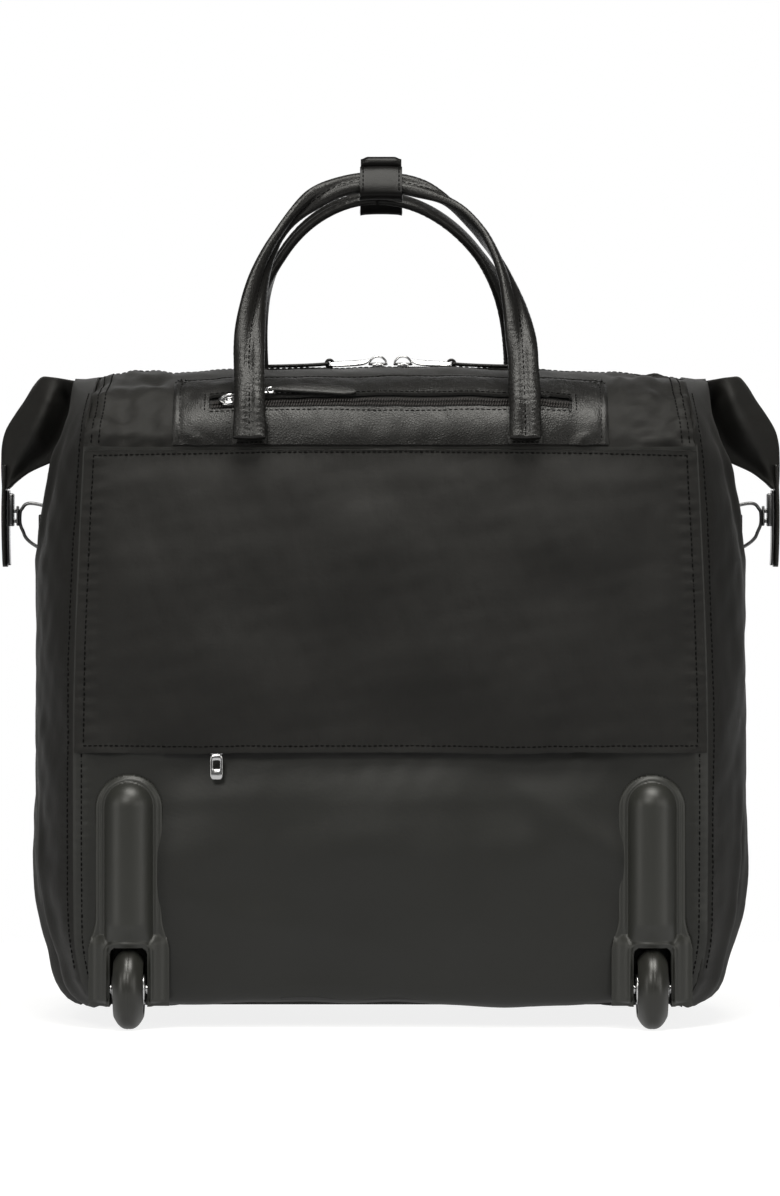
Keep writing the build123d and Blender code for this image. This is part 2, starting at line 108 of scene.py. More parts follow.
# ---- curves and meshes
def curve(x, xs, ys):
    """A smooth curve through (xs, ys) that never overshoots them, read at x."""
    x, xs, ys = np.asarray(x, float), np.asarray(xs, float), np.asarray(ys, float)
    rise = np.diff(ys) / np.diff(xs)
    slopes = np.r_[rise[0], np.zeros(len(xs) - 2), rise[-1]]
    same = np.flatnonzero(rise[1:] * rise[:-1] > 0)
    slopes[same + 1] = 2 * rise[same + 1] * rise[same] / (rise[same + 1] + rise[same])
    i = np.clip(np.searchsorted(xs, x) - 1, 0, len(xs) - 2)
    h = xs[i + 1] - xs[i]
    t = np.clip((x - xs[i]) / h, 0, 1)
    a = (1 + 2 * t) * (1 - t) ** 2 * ys[i] + t * t * (3 - 2 * t) * ys[i + 1]
    return a + h * (t * (1 - t) ** 2 * slopes[i] - t * t * (1 - t) * slopes[i + 1])


def smooth(a, b, x):
    """From 0 at a to 1 at b, with soft ends."""
    t = np.clip((np.asarray(x, float) - a) / (b - a), 0, 1)
    return t * t * (3 - 2 * t)


def bump_line(distance, width):
    """A rounded ridge along a line, 1 on it."""
    return np.exp(-(np.asarray(distance) / width) ** 2)


def waves(p, scale, seed, octaves=3):
    """A soft random field over points p (n, 3), between about -1 and 1."""
    gen = np.random.default_rng(seed)
    total = np.zeros(len(p))
    for octave in range(octaves):
        for _ in range(5):
            k = gen.normal(size=3)
            k *= 2 ** octave / (scale * np.linalg.norm(k)) * gen.uniform(0.7, 1.3)
            total += np.sin(2 * np.pi * (p @ k) + gen.uniform(0, 6.28)) / 2 ** octave
    return total / 5


def make(name, verts, faces, finish, body=None):
    """A smooth mesh object from millimetre points."""
    mesh = bpy.data.meshes.new(name)
    mesh.from_pydata([tuple(v) for v in to_row(verts)], [], [tuple(map(int, f)) for f in faces])
    mesh.validate()
    obj = bpy.data.objects.new(name, mesh)
    bpy.context.scene.collection.objects.link(obj)
    mesh.materials.append(finish)
    bm = bmesh.new()
    bm.from_mesh(mesh)
    write_back(bm, mesh)
    if body:
        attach(obj, body)
    return obj


def shade_smooth(mesh):
    for polygon in mesh.polygons:
        polygon.use_smooth = True


def write_back(bm, mesh):
    """Turns the faces outwards, puts them in the mesh and shades it smooth."""
    bmesh.ops.recalc_face_normals(bm, faces=bm.faces)
    bm.to_mesh(mesh)
    bm.free()
    shade_smooth(mesh)


def apply_modifiers(obj):
    """Makes an object's modifiers part of its mesh."""
    graph = bpy.context.evaluated_depsgraph_get()
    done = bpy.data.meshes.new_from_object(obj.evaluated_get(graph))
    obj.modifiers.clear()
    obj.data = done
    return obj


def thicken(obj, thickness, offset=-1.0, inside=(0.0, 0.0, 200.0)):
    """Gives a sheet its thickness in millimetres; offset -1 grows towards the point inside."""
    mesh = obj.data
    centre = Vector(to_row(inside)[0])
    if sum((face.center - centre).dot(face.normal) * face.area for face in mesh.polygons) < 0:
        mesh.flip_normals()
    mod = obj.modifiers.new("solid", "SOLIDIFY")
    mod.thickness = thickness / 1000
    mod.offset = offset
    mod.use_even_offset = False
    apply_modifiers(obj)
    obj.data.set_sharp_from_angle(angle=math.radians(55))
    return obj


def bevel(obj, width, segments):
    """Rounds the edges of a hard-cornered mesh."""
    mod = obj.modifiers.new("bevel", "BEVEL")
    mod.width = width / 1000
    mod.segments = segments
    mod.limit_method = "ANGLE"
    mod.angle_limit = math.radians(35)
    return apply_modifiers(obj)


def settle(obj, body, node=None):
    """Fixes a piece to its body and hides the CAD node that it replaces."""
    if body:
        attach(obj, body)
    if node:
        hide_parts(node)
    return obj


def mark(way, words=("l", "r")):
    """The letter or word for the side -1 or 1, for a piece's name."""
    return words[way > 0]


def quads(rows, columns, close_rows=False, close_columns=False, skip=None):
    """Faces of a grid of points numbered row by row."""
    faces = []
    for i in range(rows if close_rows else rows - 1):
        for j in range(columns if close_columns else columns - 1):
            a, b = (i + 1) % rows, (j + 1) % columns
            if skip is None or not skip[i, j]:
                faces.append((i * columns + j, i * columns + b, a * columns + b, a * columns + j))
    return faces


def grid(name, points, finish, body=None, close_rows=False, close_columns=False, skip=None):
    rows, columns = points.shape[:2]
    faces = quads(rows, columns, close_rows, close_columns, skip)
    return make(name, points.reshape(-1, 3), faces, finish, body)


def sheet(name, points, finish, thickness, slot, node=None, offset=-1.0, **shape):
    """A grid of points with a thickness, fixed to the case."""
    obj = grid(name, points, finish, None, **shape)
    thicken(obj, thickness, offset)
    return settle(obj, "case", node)


def tube(name, points, finish, body=None):
    """A tube from its rings of points, with closed ends."""
    rows, columns = points.shape[:2]
    faces = quads(rows, columns, False, True)
    faces += [tuple(range(columns)), tuple(range((rows - 1) * columns, rows * columns))]
    return make(name, points.reshape(-1, 3), faces, finish, body)


def normals_of(points):
    """Unit normals of a grid of points (rows, columns, 3)."""
    du = np.gradient(points, axis=1)
    dv = np.gradient(points, axis=0)
    n = np.cross(du, dv)
    return n / np.maximum(np.linalg.norm(n, axis=2, keepdims=True), 1e-9)


def frames_along(path, up):
    """Tangent, side and up vectors at each point of a path."""
    tangent = np.gradient(path, axis=0)
    tangent /= np.linalg.norm(tangent, axis=1, keepdims=True)
    up = np.broadcast_to(np.asarray(up, float), path.shape)
    side = np.cross(up, tangent)
    side /= np.linalg.norm(side, axis=1, keepdims=True)
    return tangent, side, np.cross(tangent, side)


def turned(outline, angle):
    """An outline's two columns after a turn by an angle."""
    c, s = math.cos(angle), math.sin(angle)
    return outline[:, 0] * c - outline[:, 1] * s, outline[:, 0] * s + outline[:, 1] * c


def sweep(name, path, up, section, finish, body=None, twist=None, closed=False):
    """A tube along a path. section(i, n) gives the (side, up) outline at station i of n."""
    path = np.asarray(path, float)
    _, side, top = frames_along(path, up)
    rings = []
    for i in range(len(path)):
        outline = np.asarray(section(i, len(path)), float)
        a, b = turned(outline, 0.0 if twist is None else twist[i])
        rings.append(path[i] + a[:, None] * side[i] + b[:, None] * top[i])
    if closed:
        return grid(name, np.array(rings), finish, body, True, True)
    return tube(name, np.array(rings), finish, body)


def oval(width, height, count=16, power=2.0):
    """A rounded outline, from round (2) to boxy (more)."""
    a = np.linspace(0, 2 * np.pi, count, endpoint=False)
    c, s = np.cos(a), np.sin(a)
    x = np.sign(c) * np.abs(c) ** (2 / power) * width / 2
    y = np.sign(s) * np.abs(s) ** (2 / power) * height / 2
    return np.stack([x, y], 1)


def wire(name, path, radius, finish, body=None, up=(0, 1, 0), closed=False, sides=12):
    outline = oval(2 * radius, 2 * radius, sides)
    return sweep(name, path, up, lambda i, n: outline, finish, body, closed=closed)


def smooth_path(points, per_span=8, closed=False):
    """A rounded path through points (Catmull-Rom)."""
    p = np.asarray(points, float)
    n = len(p)
    out = []
    for i in range(n if closed else n - 1):
        if closed:
            a, b, c, d = p[(i - 1) % n], p[i], p[(i + 1) % n], p[(i + 2) % n]
        else:
            a, b, c, d = p[max(i - 1, 0)], p[i], p[i + 1], p[min(i + 2, n - 1)]
        for t in np.arange(per_span) / per_span:
            out.append(0.5 * (2 * b + (c - a) * t + (2 * a - 5 * b + 4 * c - d) * t ** 2
                              + (3 * b - a - 3 * c + d) * t ** 3))
    if not closed:
        out.append(p[-1])
    return np.array(out)


def lengths_along(path):
    """The distance from a path's start to each of its points."""
    return np.r_[0, np.cumsum(np.linalg.norm(np.diff(path, axis=0), axis=1))]


def even(path, pitch):
    """Points every pitch along a path."""
    path = np.asarray(path, float)
    steps = lengths_along(path)
    count = max(2, int(round(steps[-1] / pitch)) + 1)
    at = np.linspace(0, steps[-1], count)
    return np.stack([np.interp(at, steps, path[:, k]) for k in range(3)], 1)


def bead():
    """Points and faces of a small closed rounded bar along x, one unit long and one wide."""
    rings = [(-0.5, 0.0), (-0.42, 0.32), (-0.2, 0.5), (0.2, 0.5), (0.42, 0.32), (0.5, 0.0)]
    verts, faces, sides = [], [], 6
    for x, r in rings:
        for k in range(sides if r else 1):
            a = 2 * math.pi * k / sides
            verts.append((x, r * math.cos(a), r * math.sin(a)))
    end = 1 + 4 * sides
    for k in range(sides):
        after = (k + 1) % sides
        faces.append((0, 1 + after, 1 + k))
        for a in (1, 1 + sides, 1 + 2 * sides):
            b = a + sides
            faces.append((a + k, a + after, b + after, b + k))
        faces.append((end, end - sides + k, end - sides + after))
    return np.array(verts), faces


BEAD = bead()


def beads(name, centres, along, outward, length, width, height, finish, body=None):
    """Many small bars in one mesh: stitches or coil teeth. along and outward are per bar."""
    verts, faces = BEAD
    all_verts, all_faces = [], []
    for k, (c, t, n) in enumerate(zip(centres, along, outward)):
        t = t / np.linalg.norm(t)
        n = n - t * (n @ t)
        n = n / max(np.linalg.norm(n), 1e-9)
        side = np.cross(n, t)
        local = verts[:, :1] * length * t + verts[:, 1:2] * width * side + verts[:, 2:] * height * n
        all_verts.append(local + c)
        all_faces += [tuple(i + k * len(verts) for i in f) for f in faces]
    return make(name, np.concatenate(all_verts), all_faces, finish, body)


def stitch_row(name, path, outward, body, pitch=3.2, length=2.3, width=0.75, lift=0.1):
    """A row of sewn stitches along a path on a surface."""
    points = even(path, pitch)
    middle = (points[1:] + points[:-1]) / 2
    along = np.diff(points, axis=0)
    source = np.asarray(path, float)
    if np.ndim(outward) == 1:
        out = np.broadcast_to(np.asarray(outward, float), middle.shape)
    else:
        nearest = [np.argmin(((source - m) ** 2).sum(1)) for m in middle]
        out = np.asarray(outward)[nearest]
    return beads(name, middle + out * lift, along, out, length, width, width * 0.8, THREAD_AND_HOLE_SHADE, body)


def lathe_x(name, profile, centre, finish, steps):
    """A ring turned about a line along X. profile is closed, as (x, radius)."""
    rings = []
    for a in np.linspace(0, 2 * np.pi, steps, endpoint=False):
        turn = np.array([math.cos(a), math.sin(a)])
        rings.append([(centre[0] + x, *(centre[1:] + r * turn)) for x, r in profile])
    return grid(name, np.array(rings), finish, None, True, True)


def rounded_box(name, low, high, radius, finish, body=None, segments=3):
    """A box with rounded edges."""
    verts = [(x, y, z) for x in (low[0], high[0]) for y in (low[1], high[1]) for z in (low[2], high[2])]
    faces = [(0, 1, 3, 2), (4, 6, 7, 5), (0, 4, 5, 1), (2, 3, 7, 6), (0, 2, 6, 4), (1, 5, 7, 3)]
    obj = make(name, verts, faces, finish)
    bevel(obj, radius, segments)
    shade_smooth(obj.data)
    if body:
        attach(obj, body)
    return obj


# ---- finishes
def surface(name, colour, rough, layers=(), mottle_and_sheen=0.0, rough_spread=0.0, **sockets):
    """A material: colour, roughness and bump layers of (pattern, cells per metre, depth in mm)."""
    mat = bpy.data.materials.new(name)
    mat.use_nodes = True
    nodes, links = mat.node_tree.nodes, mat.node_tree.links
    shader = nodes["Principled BSDF"]
    shader.inputs["Base Color"].default_value = (*colour, 1)
    shader.inputs["Roughness"].default_value = rough
    for key, value in sockets.items():
        socket = key.replace("_", " ").title().replace("Ior", "IOR")
        shader.inputs[socket].default_value = value
    place = nodes.new("ShaderNodeTexCoord").outputs["Object"]

    def pattern(kind, scale):
        if kind == "noise":
            node = nodes.new("ShaderNodeTexNoise")
            node.inputs["Detail"].default_value = 4
            out = node.outputs["Fac"]
        elif kind == "cells":
            node = nodes.new("ShaderNodeTexVoronoi")
            node.feature = "DISTANCE_TO_EDGE"
            out = node.outputs["Distance"]
        else:
            node = nodes.new("ShaderNodeTexWave")
            node.bands_direction = kind
            node.inputs["Distortion"].default_value = 1.5
            node.inputs["Detail"].default_value = 1
            node.inputs["Detail Scale"].default_value = 4
            out = node.outputs["Fac"]
        node.inputs["Scale"].default_value = scale
        links.new(place, node.inputs["Vector"])
        return out

    last = None
    for kind, scale, depth in layers:
        bump = nodes.new("ShaderNodeBump")
        bump.inputs["Distance"].default_value = depth / 1000
        bump.inputs["Strength"].default_value = 1.0
        links.new(pattern(kind, scale), bump.inputs["Height"])
        if last:
            links.new(last, bump.inputs["Normal"])
        last = bump.outputs["Normal"]
    if last:
        links.new(last, shader.inputs["Normal"])
    # Slow random blotches in the base colour: partly the material's own uneven tone, partly painted sheen.
    if mottle_and_sheen:
        mix = nodes.new("ShaderNodeMix")
        mix.data_type = "RGBA"
        mix.inputs["A"].default_value = (*[c * (1 - mottle_and_sheen) for c in colour], 1)
        mix.inputs["B"].default_value = (*[c * (1 + mottle_and_sheen) for c in colour], 1)
        links.new(pattern("noise", 9), mix.inputs["Factor"])
        links.new(mix.outputs["Result"], shader.inputs["Base Color"])
    if rough_spread:
        ramp = nodes.new("ShaderNodeMapRange")
        ramp.inputs["To Min"].default_value = rough - rough_spread
        ramp.inputs["To Max"].default_value = rough + rough_spread
        links.new(pattern("noise", 30), ramp.inputs["Value"])
        links.new(ramp.outputs["Result"], shader.inputs["Roughness"])
    return mat


# The nylon's wide colour spread (0.35) is mostly painted sheen, with some of the cloth's own uneven tone.
NYLON = surface("nylon", (0.0073, 0.0069, 0.0060), 0.56,
                [("noise", 14, 0.8), ("noise", 330, 0.12), ("X", 620, 0.05), ("Z", 620, 0.05)],
                0.35, 0.08, sheen_weight=0.05, sheen_roughness=0.4, specular_ior_level=0.27)
CLOTH = surface("coated_cloth", (0.0105, 0.0107, 0.0093), 0.47,
                [("noise", 10, 0.45), ("noise", 420, 0.08), ("noise", 1500, 0.03)],
                0.24, 0.08, sheen_weight=0.04, sheen_roughness=0.5, specular_ior_level=0.40)
LEATHER = surface("leather", (0.0064, 0.0061, 0.0056), 0.38, [("noise", 60, 0.35), ("cells", 650, 0.26)],
                  0.15, 0.07, specular_ior_level=0.34)
SMOOTH_LEATHER = surface("smooth_leather", (0.0036, 0.0034, 0.0033), 0.34,
                         [("noise", 120, 0.15), ("cells", 900, 0.08)], 0.15, 0.06, specular_ior_level=0.16)
PADDING = surface("padding", (0.10, 0.10, 0.11), 0.9, [("noise", 500, 0.2)], 0.1)
BOARD = surface("board", (0.04, 0.04, 0.04), 0.5, [("noise", 200, 0.1)])
HOUSING = surface("housing_plastic", (0.0198, 0.0203, 0.0174), 0.42,
                  [("noise", 2200, 0.05), ("noise", 60, 0.1)], 0.08, 0.04)
RUBBER = surface("foot_rubber", (0.02, 0.02, 0.02), 0.75, [("noise", 900, 0.05)])
TYRE = surface("tyre", (0.0178, 0.0178, 0.0152), 0.36, [("noise", 300, 0.04), ("noise", 1500, 0.02)],
               0.1, 0.08)
HUB = surface("hub_plastic", (0.03, 0.03, 0.032), 0.35, [("noise", 400, 0.03)])
STEEL = surface("steel", (0.55, 0.55, 0.56), 0.32, [("noise", 800, 0.01)], metallic=1.0)
SILVER = surface("silver_metal", (0.58, 0.58, 0.59), 0.22, [("noise", 90, 0.02)], metallic=1.0)
DARK_METAL = surface("dark_metal", (0.17, 0.17, 0.175), 0.30, [("noise", 250, 0.03)], metallic=1.0)
TUBE = surface("tube_metal", (0.62, 0.63, 0.64), 0.28, [("noise", 700, 0.01)], metallic=1.0)
GRIP = surface("grip_plastic", (0.022, 0.022, 0.023), 0.45, [("noise", 1800, 0.05)])
BUTTON = surface("button_plastic", (0.05, 0.05, 0.05), 0.3, [("noise", 800, 0.02)])
TAPE = surface("zip_tape", (0.0105, 0.0102, 0.0100), 0.8, [("X", 900, 0.06), ("noise", 200, 0.1)], 0.1)
COIL = surface("zip_coil", (0.026, 0.0225, 0.0215), 0.5, [("noise", 900, 0.02)], specular_ior_level=0.3)
# Near-black thread: partly the thread's own black, partly painted shade for the dark stitch holes.
THREAD_AND_HOLE_SHADE = surface("thread_and_hole_shade", (0.0028, 0.0027, 0.0026), 0.8, [("noise", 1500, 0.05)], specular_ior_level=0.08)
FLOOR = surface("floor", (0.30, 0.30, 0.30), 0.9, [("noise", 20, 0.01)], emission_color=(1, 1, 1, 1),
                specular_ior_level=0.0)

SLOT_FINISH = {
    "nylon": NYLON, "coated_cloth": CLOTH, "leather": LEATHER, "padding": PADDING, "board": BOARD,
    "housing_plastic": HOUSING, "foot_rubber": RUBBER, "tyre": TYRE, "hub_plastic": HUB, "steel": STEEL,
    "silver_metal": SILVER, "dark_metal": DARK_METAL, "tube_metal": TUBE, "grip_plastic": GRIP,
    "button_plastic": BUTTON, "zip": TAPE,
}
for part in frame["record"]["subparts"]:
    node = frame["nodes"][part["node"]]
    node.data.materials.clear()
    node.data.materials.append(SLOT_FINISH[part["material_slot"]])


# ---- the shape of the body
LEVELS = [14, 30, 60, 173, 361, 408]
SEAM_HALF = [184, 192, 196.5, 197, 190.5, 186]
BELLY_Z = [14, 19, 29, 41.5, 54, 73.5, 105, 170, 234, 290, 301, 314, 327, 339, 352, 361, 370, 391, 409]
BELLY_X = [203, 209, 213.8, 216.4, 220.1, 224.4, 226.8, 226.9, 226.2, 226, 224.5, 223.2, 221.5, 219.5,
           217.5, 214, 210.5, 206.5, 206]
CORNER_R = 12.0
ZIP_Y = 7.0  # where the roof's cloth ends at the main zip
SHELL_ROW, SHELL_COLUMNS, END_COLUMNS = 2.6, 153, 81  # spacing of the wall's rows in mm, and grid sizes
PUCKER_PITCH = 7.2
LOW_FOLDS = ((-78, 0.26), (-52, 0.42), (60, -0.3))  # folds on the ends, as (y, slope)
HIGH_FOLDS = ((-40, -0.35), (40, 0.35))


def ridge(x):
    """Height of the roof's ridge at x: it sags towards the ends."""
    return CHAIN_TOP - 1.0 - 4.3 * (np.abs(x) / 154.0) ** 2


def seam_half(z):
    """Half the distance between the side seams at height z."""
    return curve(z, LEVELS, SEAM_HALF)


def belly_half(z):
    """Half the body's full width at height z."""
    return curve(z, BELLY_Z, BELLY_X)


def depth_at(t):
    """Half depth and height share along the roof: t from 0 at the shoulder to 1 at the ridge."""
    a = np.asarray(t) * np.pi / 2
    return HALF_DEPTH * np.cos(a), np.sin(a)


def flat_height(v):
    """The height at which the seam tables are read, for v on the wall or the roof."""
    rise = np.sin(np.clip(v - ROOF, 0, 1) * np.pi / 2)
    return np.where(v >= ROOF, SHOULDER + ROOF_RISE * rise, v)


def corner_round(z):
    """How far the rounding of the lower edge goes in at height z, from 0 to 1."""
    low = np.clip((BASE + CORNER_R - z) / CORNER_R, 0, 1)
    return 1 - np.sqrt(1 - low ** 2)


def wall_point(s, v, side):
    """A point of the front (+1) or rear (-1) wall or roof, before any creases.
    s runs from -1 to 1 across; v is the height up to the shoulder, then ROOF + t on the roof."""
    s, v = np.broadcast_arrays(np.asarray(s, float), np.asarray(v, float))
    roof = v >= ROOF
    out, rise = depth_at(np.where(roof, v - ROOF, 0))
    x = s * seam_half(flat_height(v))
    z = np.where(roof, SHOULDER + (ridge(x) - SHOULDER) * rise, v)
    y = np.where(roof, out, HALF_DEPTH - CORNER_R * corner_round(z))
    return np.stack([x, side * y, z], -1)


def crease_field(p, side):
    """How far the wall moves outwards at points p (n, 3)."""
    x, z = p[:, 0], p[:, 2]
    half = seam_half(np.clip(z, LEVELS[0], LEVELS[-1]))
    inset = half - np.abs(x)
    push = 2.2 * waves(p * [1, 0.3, 1], 110, 11 + side, 2)
    push += (0.2 + 0.5 * smooth(150, 175, z)) * waves(p, 36, 21 + side, 3)
    push *= smooth(0, 14, inset)
    # the side seam and its puckers
    valley = bump_line(inset, 2.2)
    pucker = np.sin(z / PUCKER_PITCH * 2 * np.pi + 1.3 * np.sin(z / 23)) * bump_line(inset - 5.5, 4.0)
    push += -1.6 * valley + 0.6 * pucker - 0.7 * bump_line(inset - 5.1, 1.3)
    push += 0.9 * bump_line(inset - 6.5, 4.5)
    # the slack cloth at the roof's corners
    roof = smooth(361, 366, z)
    soft = waves(p * [1.0, 0.4, 1.6], 38, 31 + side, 3) * 4.0 * roof * smooth(132, 148, np.abs(x))
    reach = np.hypot(np.abs(x) - 146, z - 352)
    arc = np.sin((reach - 26) / 9 * np.pi) * bump_line(reach - 30, 8) * smooth(372, 366, z)
    push += soft + 1.3 * arc * roof
    # the rear wall below the pocket
    lower = smooth(176, 150, z) * (side < 0)
    tuck = 4.6 * smooth(172, 138, z) - 2.0 * smooth(230, 172, z) + 1.6 * smooth(140, 105, z)
    push += tuck * smooth(20, 70, z) * smooth(160, 125, np.abs(x)) * (side < 0)
    push += lower * (0.9 * np.sin(x / 37 + z / 90) + 1.8 * bump_line(z - 112 - 0.03 * x, 26))
    push += lower * 1.8 * bump_line((x - 120) * 0.6 + (z - 120) * 0.8, 12) * smooth(60, 90, x)
    push += lower * 1.2 * bump_line((x + 60) * 0.25 + (z - 62), 12) * smooth(30, 0, np.abs(x + 60) - 60)
    push -= 4.5 * smooth(290, 361, z) * smooth(400, 361, z) * smooth(0, 30, inset) * (side < 0)
    # both walls bow outwards, the front more
    middle = 1 - (x / half) ** 2
    rear_crown = 4.0 * middle * np.sin(np.clip((z - 14) / 347, 0, 1) * np.pi)
    push += rear_crown if side < 0 else rear_crown * 1.6
    return push


def gusset_point(w, v, side):
    """A point of the right (+1) or left (-1) end, w from -1 at the rear seam to 1 at the front."""
    w, v = np.broadcast_arrays(np.asarray(w, float), np.asarray(v, float))
    z_flat = flat_height(v)
    seam = wall_point(np.full(w.shape, 1.0), v, 1)
    z = seam[..., 2]
    bulge = belly_half(z_flat) - seam_half(z_flat)
    shape = 1 - np.abs(w) ** 2.4
    dip = 0.85 * smooth(345, 378, z_flat) * np.exp(-(w / 0.26) ** 2)
    x = seam[..., 0] + bulge * (shape - dip) - 3.0 * corner_round(z)
    y = np.abs(seam[..., 1]) * w
    z = z - 2.6 * shape * smooth(ROOF + 0.5, ROOF + 1.0, v)
    return np.stack([side * x, y, z], -1)


def gusset_field(p, side):
    """How far the end moves outwards at points p."""
    y, z = p[:, 1], p[:, 2]
    inset = np.abs(HALF_DEPTH - np.abs(y))
    push = waves(p * [0.3, 1, 0.7], 80, 41 + side, 3) * (0.6 + 1.6 * smooth(10, 60, np.abs(y)))
    push += 0.45 * waves(p, 28, 43, 2)
    push *= smooth(0, 14, inset) * smooth(398, 372, z)
    push += -1.6 * bump_line(inset, 2.5) * (z < 372)
    push += 0.34 * np.sin(z / PUCKER_PITCH * 2 * np.pi + 0.8) * bump_line(inset - 6, 4.5) * (z < 380)
    low = smooth(170, 90, z)
    for k, (y0, slope) in enumerate(LOW_FOLDS):
        line = (y - y0 - slope * (z - 20)) / np.hypot(1, slope)
        push += (2.7 - 0.5 * k) * low * (bump_line(line, 7) - 0.8 * bump_line(line - 11, 6))
    high = smooth(250, 330, z) * smooth(395, 350, z)
    for y0, slope in HIGH_FOLDS:
        line = (y - y0 - slope * (z - 340)) / np.hypot(1, slope)
        push += 1.7 * high * (bump_line(line, 8) - 0.7 * bump_line(line - 12 * np.sign(y0), 7))
    return push


def displaced(points, field):
    """A grid pushed along its outward normals by field(points)."""
    flat = points.reshape(-1, 3)
    n = normals_of(points).reshape(-1, 3)
    centre = np.array([0, 0, 200.0])
    outward = flat - centre
    outward[:, 2] = np.where(flat[:, 2] > 365, outward[:, 2], 0)
    n *= np.where((n * outward).sum(1) < 0, -1, 1)[:, None]
    return (flat + n * field(flat)[:, None]).reshape(points.shape)


def heights():
    """Rows from the lower edge to the ridge: wall heights, then ROOF + t on the roof."""
    low = BASE + CORNER_R * (1 - np.cos(np.linspace(0, np.pi / 2, 5)))[:-1]
    walls = np.arange(BASE + CORNER_R, SHOULDER - 0.1, SHELL_ROW)
    end = 1 - math.asin(ZIP_Y / HALF_DEPTH) * 2 / math.pi
    roof = ROOF + np.linspace(0, end, 34)
    return np.concatenate([low, walls, roof])


def shell_half(side):
    """The front (+1) or rear (-1) wall with its half of the roof, as a grid."""
    rows = heights()
    s = np.linspace(-1, 1, SHELL_COLUMNS)
    points = wall_point(s[None, :], rows[:, None], side)
    return displaced(points, lambda p: crease_field(p, side)), rows


def drop_cells(points, test):
    """Which faces of a grid to leave out, by their middles."""
    middles = (points[:-1, :-1] + points[1:, 1:] + points[:-1, 1:] + points[1:, :-1]) / 4
    return test(middles)


WELL_HALF, WELL_TOP, WELL_BACK = 14.5, 55, -75


def in_well(m):
    """Which points are in the wells that the wheels sit in."""
    beside = np.abs(np.abs(m[..., 0]) - WHEEL[0])
    return (beside < WELL_HALF) & (m[..., 2] < WELL_TOP) & (m[..., 1] < WELL_BACK)


OPEN_LOW, OPEN_HIGH = -94.0, -74.0


def in_opening(m):
    """Which points are over the opening that the trolley comes out of."""
    return (np.abs(m[..., 0]) < SLOT_HALF) & (m[..., 1] > OPEN_LOW) & (m[..., 1] < OPEN_HIGH)


def left_out(m):
    """Which points of the shell are cut away for the wheels and the trolley."""
    return in_well(m) | in_opening(m) & (m[..., 2] > SHOULDER)


shell = {}
for side, label in REAR_FRONT:
    points, rows = shell_half(side)
    shell[side] = points
    first = int(np.argmax(rows >= ROOF))
    skip = drop_cells(points, left_out)
    sheet(f"{label}_wall", points[:first + 1], CLOTH if side < 0 else NYLON, SHELL_THICK, "coated_cloth",
          f"{label}_panel", skip=skip[:first])
    sheet(f"{label}_roof_cloth", points[first:], NYLON, SHELL_THICK, "nylon", f"{label}_roof",
          skip=skip[first:])

ends = {}
for side, label in RIGHT_LEFT:
    rows = heights()
    rows = np.append(rows, np.linspace(rows[-1], ROOF + 0.985, 3)[1:])
    points = gusset_point(np.linspace(-1, 1, END_COLUMNS)[None, :], rows[:, None], side)
    ends[side] = displaced(points, lambda p: gusset_field(p, side))
    sheet(f"{label}_end", ends[side], NYLON, SHELL_THICK, "nylon", f"{label}_gusset")


def bottom_loop():
    """The lower edge of the body all round, as one closed line of points."""
    rear, front = shell[-1][0], shell[1][0]
    right, left = ends[1][0], ends[-1][0]
    return np.concatenate([rear[:-1], right[:-1], front[::-1][:-1], left[::-1][:-1]])


# the bottom: rings of points from the lower edge in to the middle
rings = []
for share in np.linspace(1, 0.02, 26):
    ring = bottom_loop()
    ring[:, :2] *= share
    inside = np.minimum(HALF_DEPTH - np.abs(ring[:, 1]), 215 - np.abs(ring[:, 0]))
    ripple = 0.4 * np.sin(ring[:, 0] / 40) * np.sin(ring[:, 1] / 30)
    ring[:, 2] = BASE + ripple * smooth(0, 40, inside)
    rings.append(ring)
floor_points = np.array(rings)
keep_out = drop_cells(np.concatenate([floor_points, floor_points[:, :1]], 1), in_well)
sheet("bottom_cloth", floor_points, CLOTH, SHELL_THICK, "coated_cloth", "bottom_panel",
      close_columns=True, skip=keep_out)


# ---- reading the surface back
def read_grid(points, column, row):
    """Points of a grid at fractional columns and rows."""
    r = np.clip(row, 0, points.shape[0] - 1.001)
    c = np.clip(column, 0, points.shape[1] - 1.001)
    i, j = np.floor(r).astype(int), np.floor(c).astype(int)
    a, b = (r - i)[..., None], (c - j)[..., None]
    return ((points[i, j] * (1 - a) + points[i + 1, j] * a) * (1 - b)
            + (points[i, j + 1] * (1 - a) + points[i + 1, j + 1] * a) * b)


ALL_ROWS = heights()
SHELL_NORMALS, END_NORMALS = {}, {}
for side in (-1, 1):
    n = normals_of(shell[side])
    SHELL_NORMALS[side] = n * np.where(n[..., 1] * side + n[..., 2] * 0.5 < 0, -1, 1)[..., None]
    n = normals_of(ends[side])
    END_NORMALS[side] = n * np.where(n[..., 0] * side < 0, -1, 1)[..., None]


def on_wall(side, x, v):
    """Points on the rear or front surface at x and height v (ROOF + t on the roof), and their normals."""
    x, v = np.broadcast_arrays(np.asarray(x, float), np.asarray(v, float))
    s = x / seam_half(flat_height(v))
    col = (s + 1) / 2 * (shell[side].shape[1] - 1)
    row = np.interp(v, ALL_ROWS, np.arange(len(ALL_ROWS)))
    n = read_grid(SHELL_NORMALS[side], col, row)
    return read_grid(shell[side], col, row), n / np.linalg.norm(n, axis=-1, keepdims=True)


def roof_t(y):
    """The roof's place (ROOF + t) at a distance y from the mid-plane."""
    return ROOF + np.arccos(np.clip(np.abs(y) / HALF_DEPTH, 0, 1)) * 2 / np.pi


# ---- pockets
POCKET_LOW = node_mm("rear_pocket")[0][2] - 2.0
POCKET_TOP = node_mm("rear_pocket")[1][2] + 0.8
LOW_HEM, TOP_HEM, SIDE_HEM = 4.4, 3.2, 5.6  # how far the stitches are from each edge


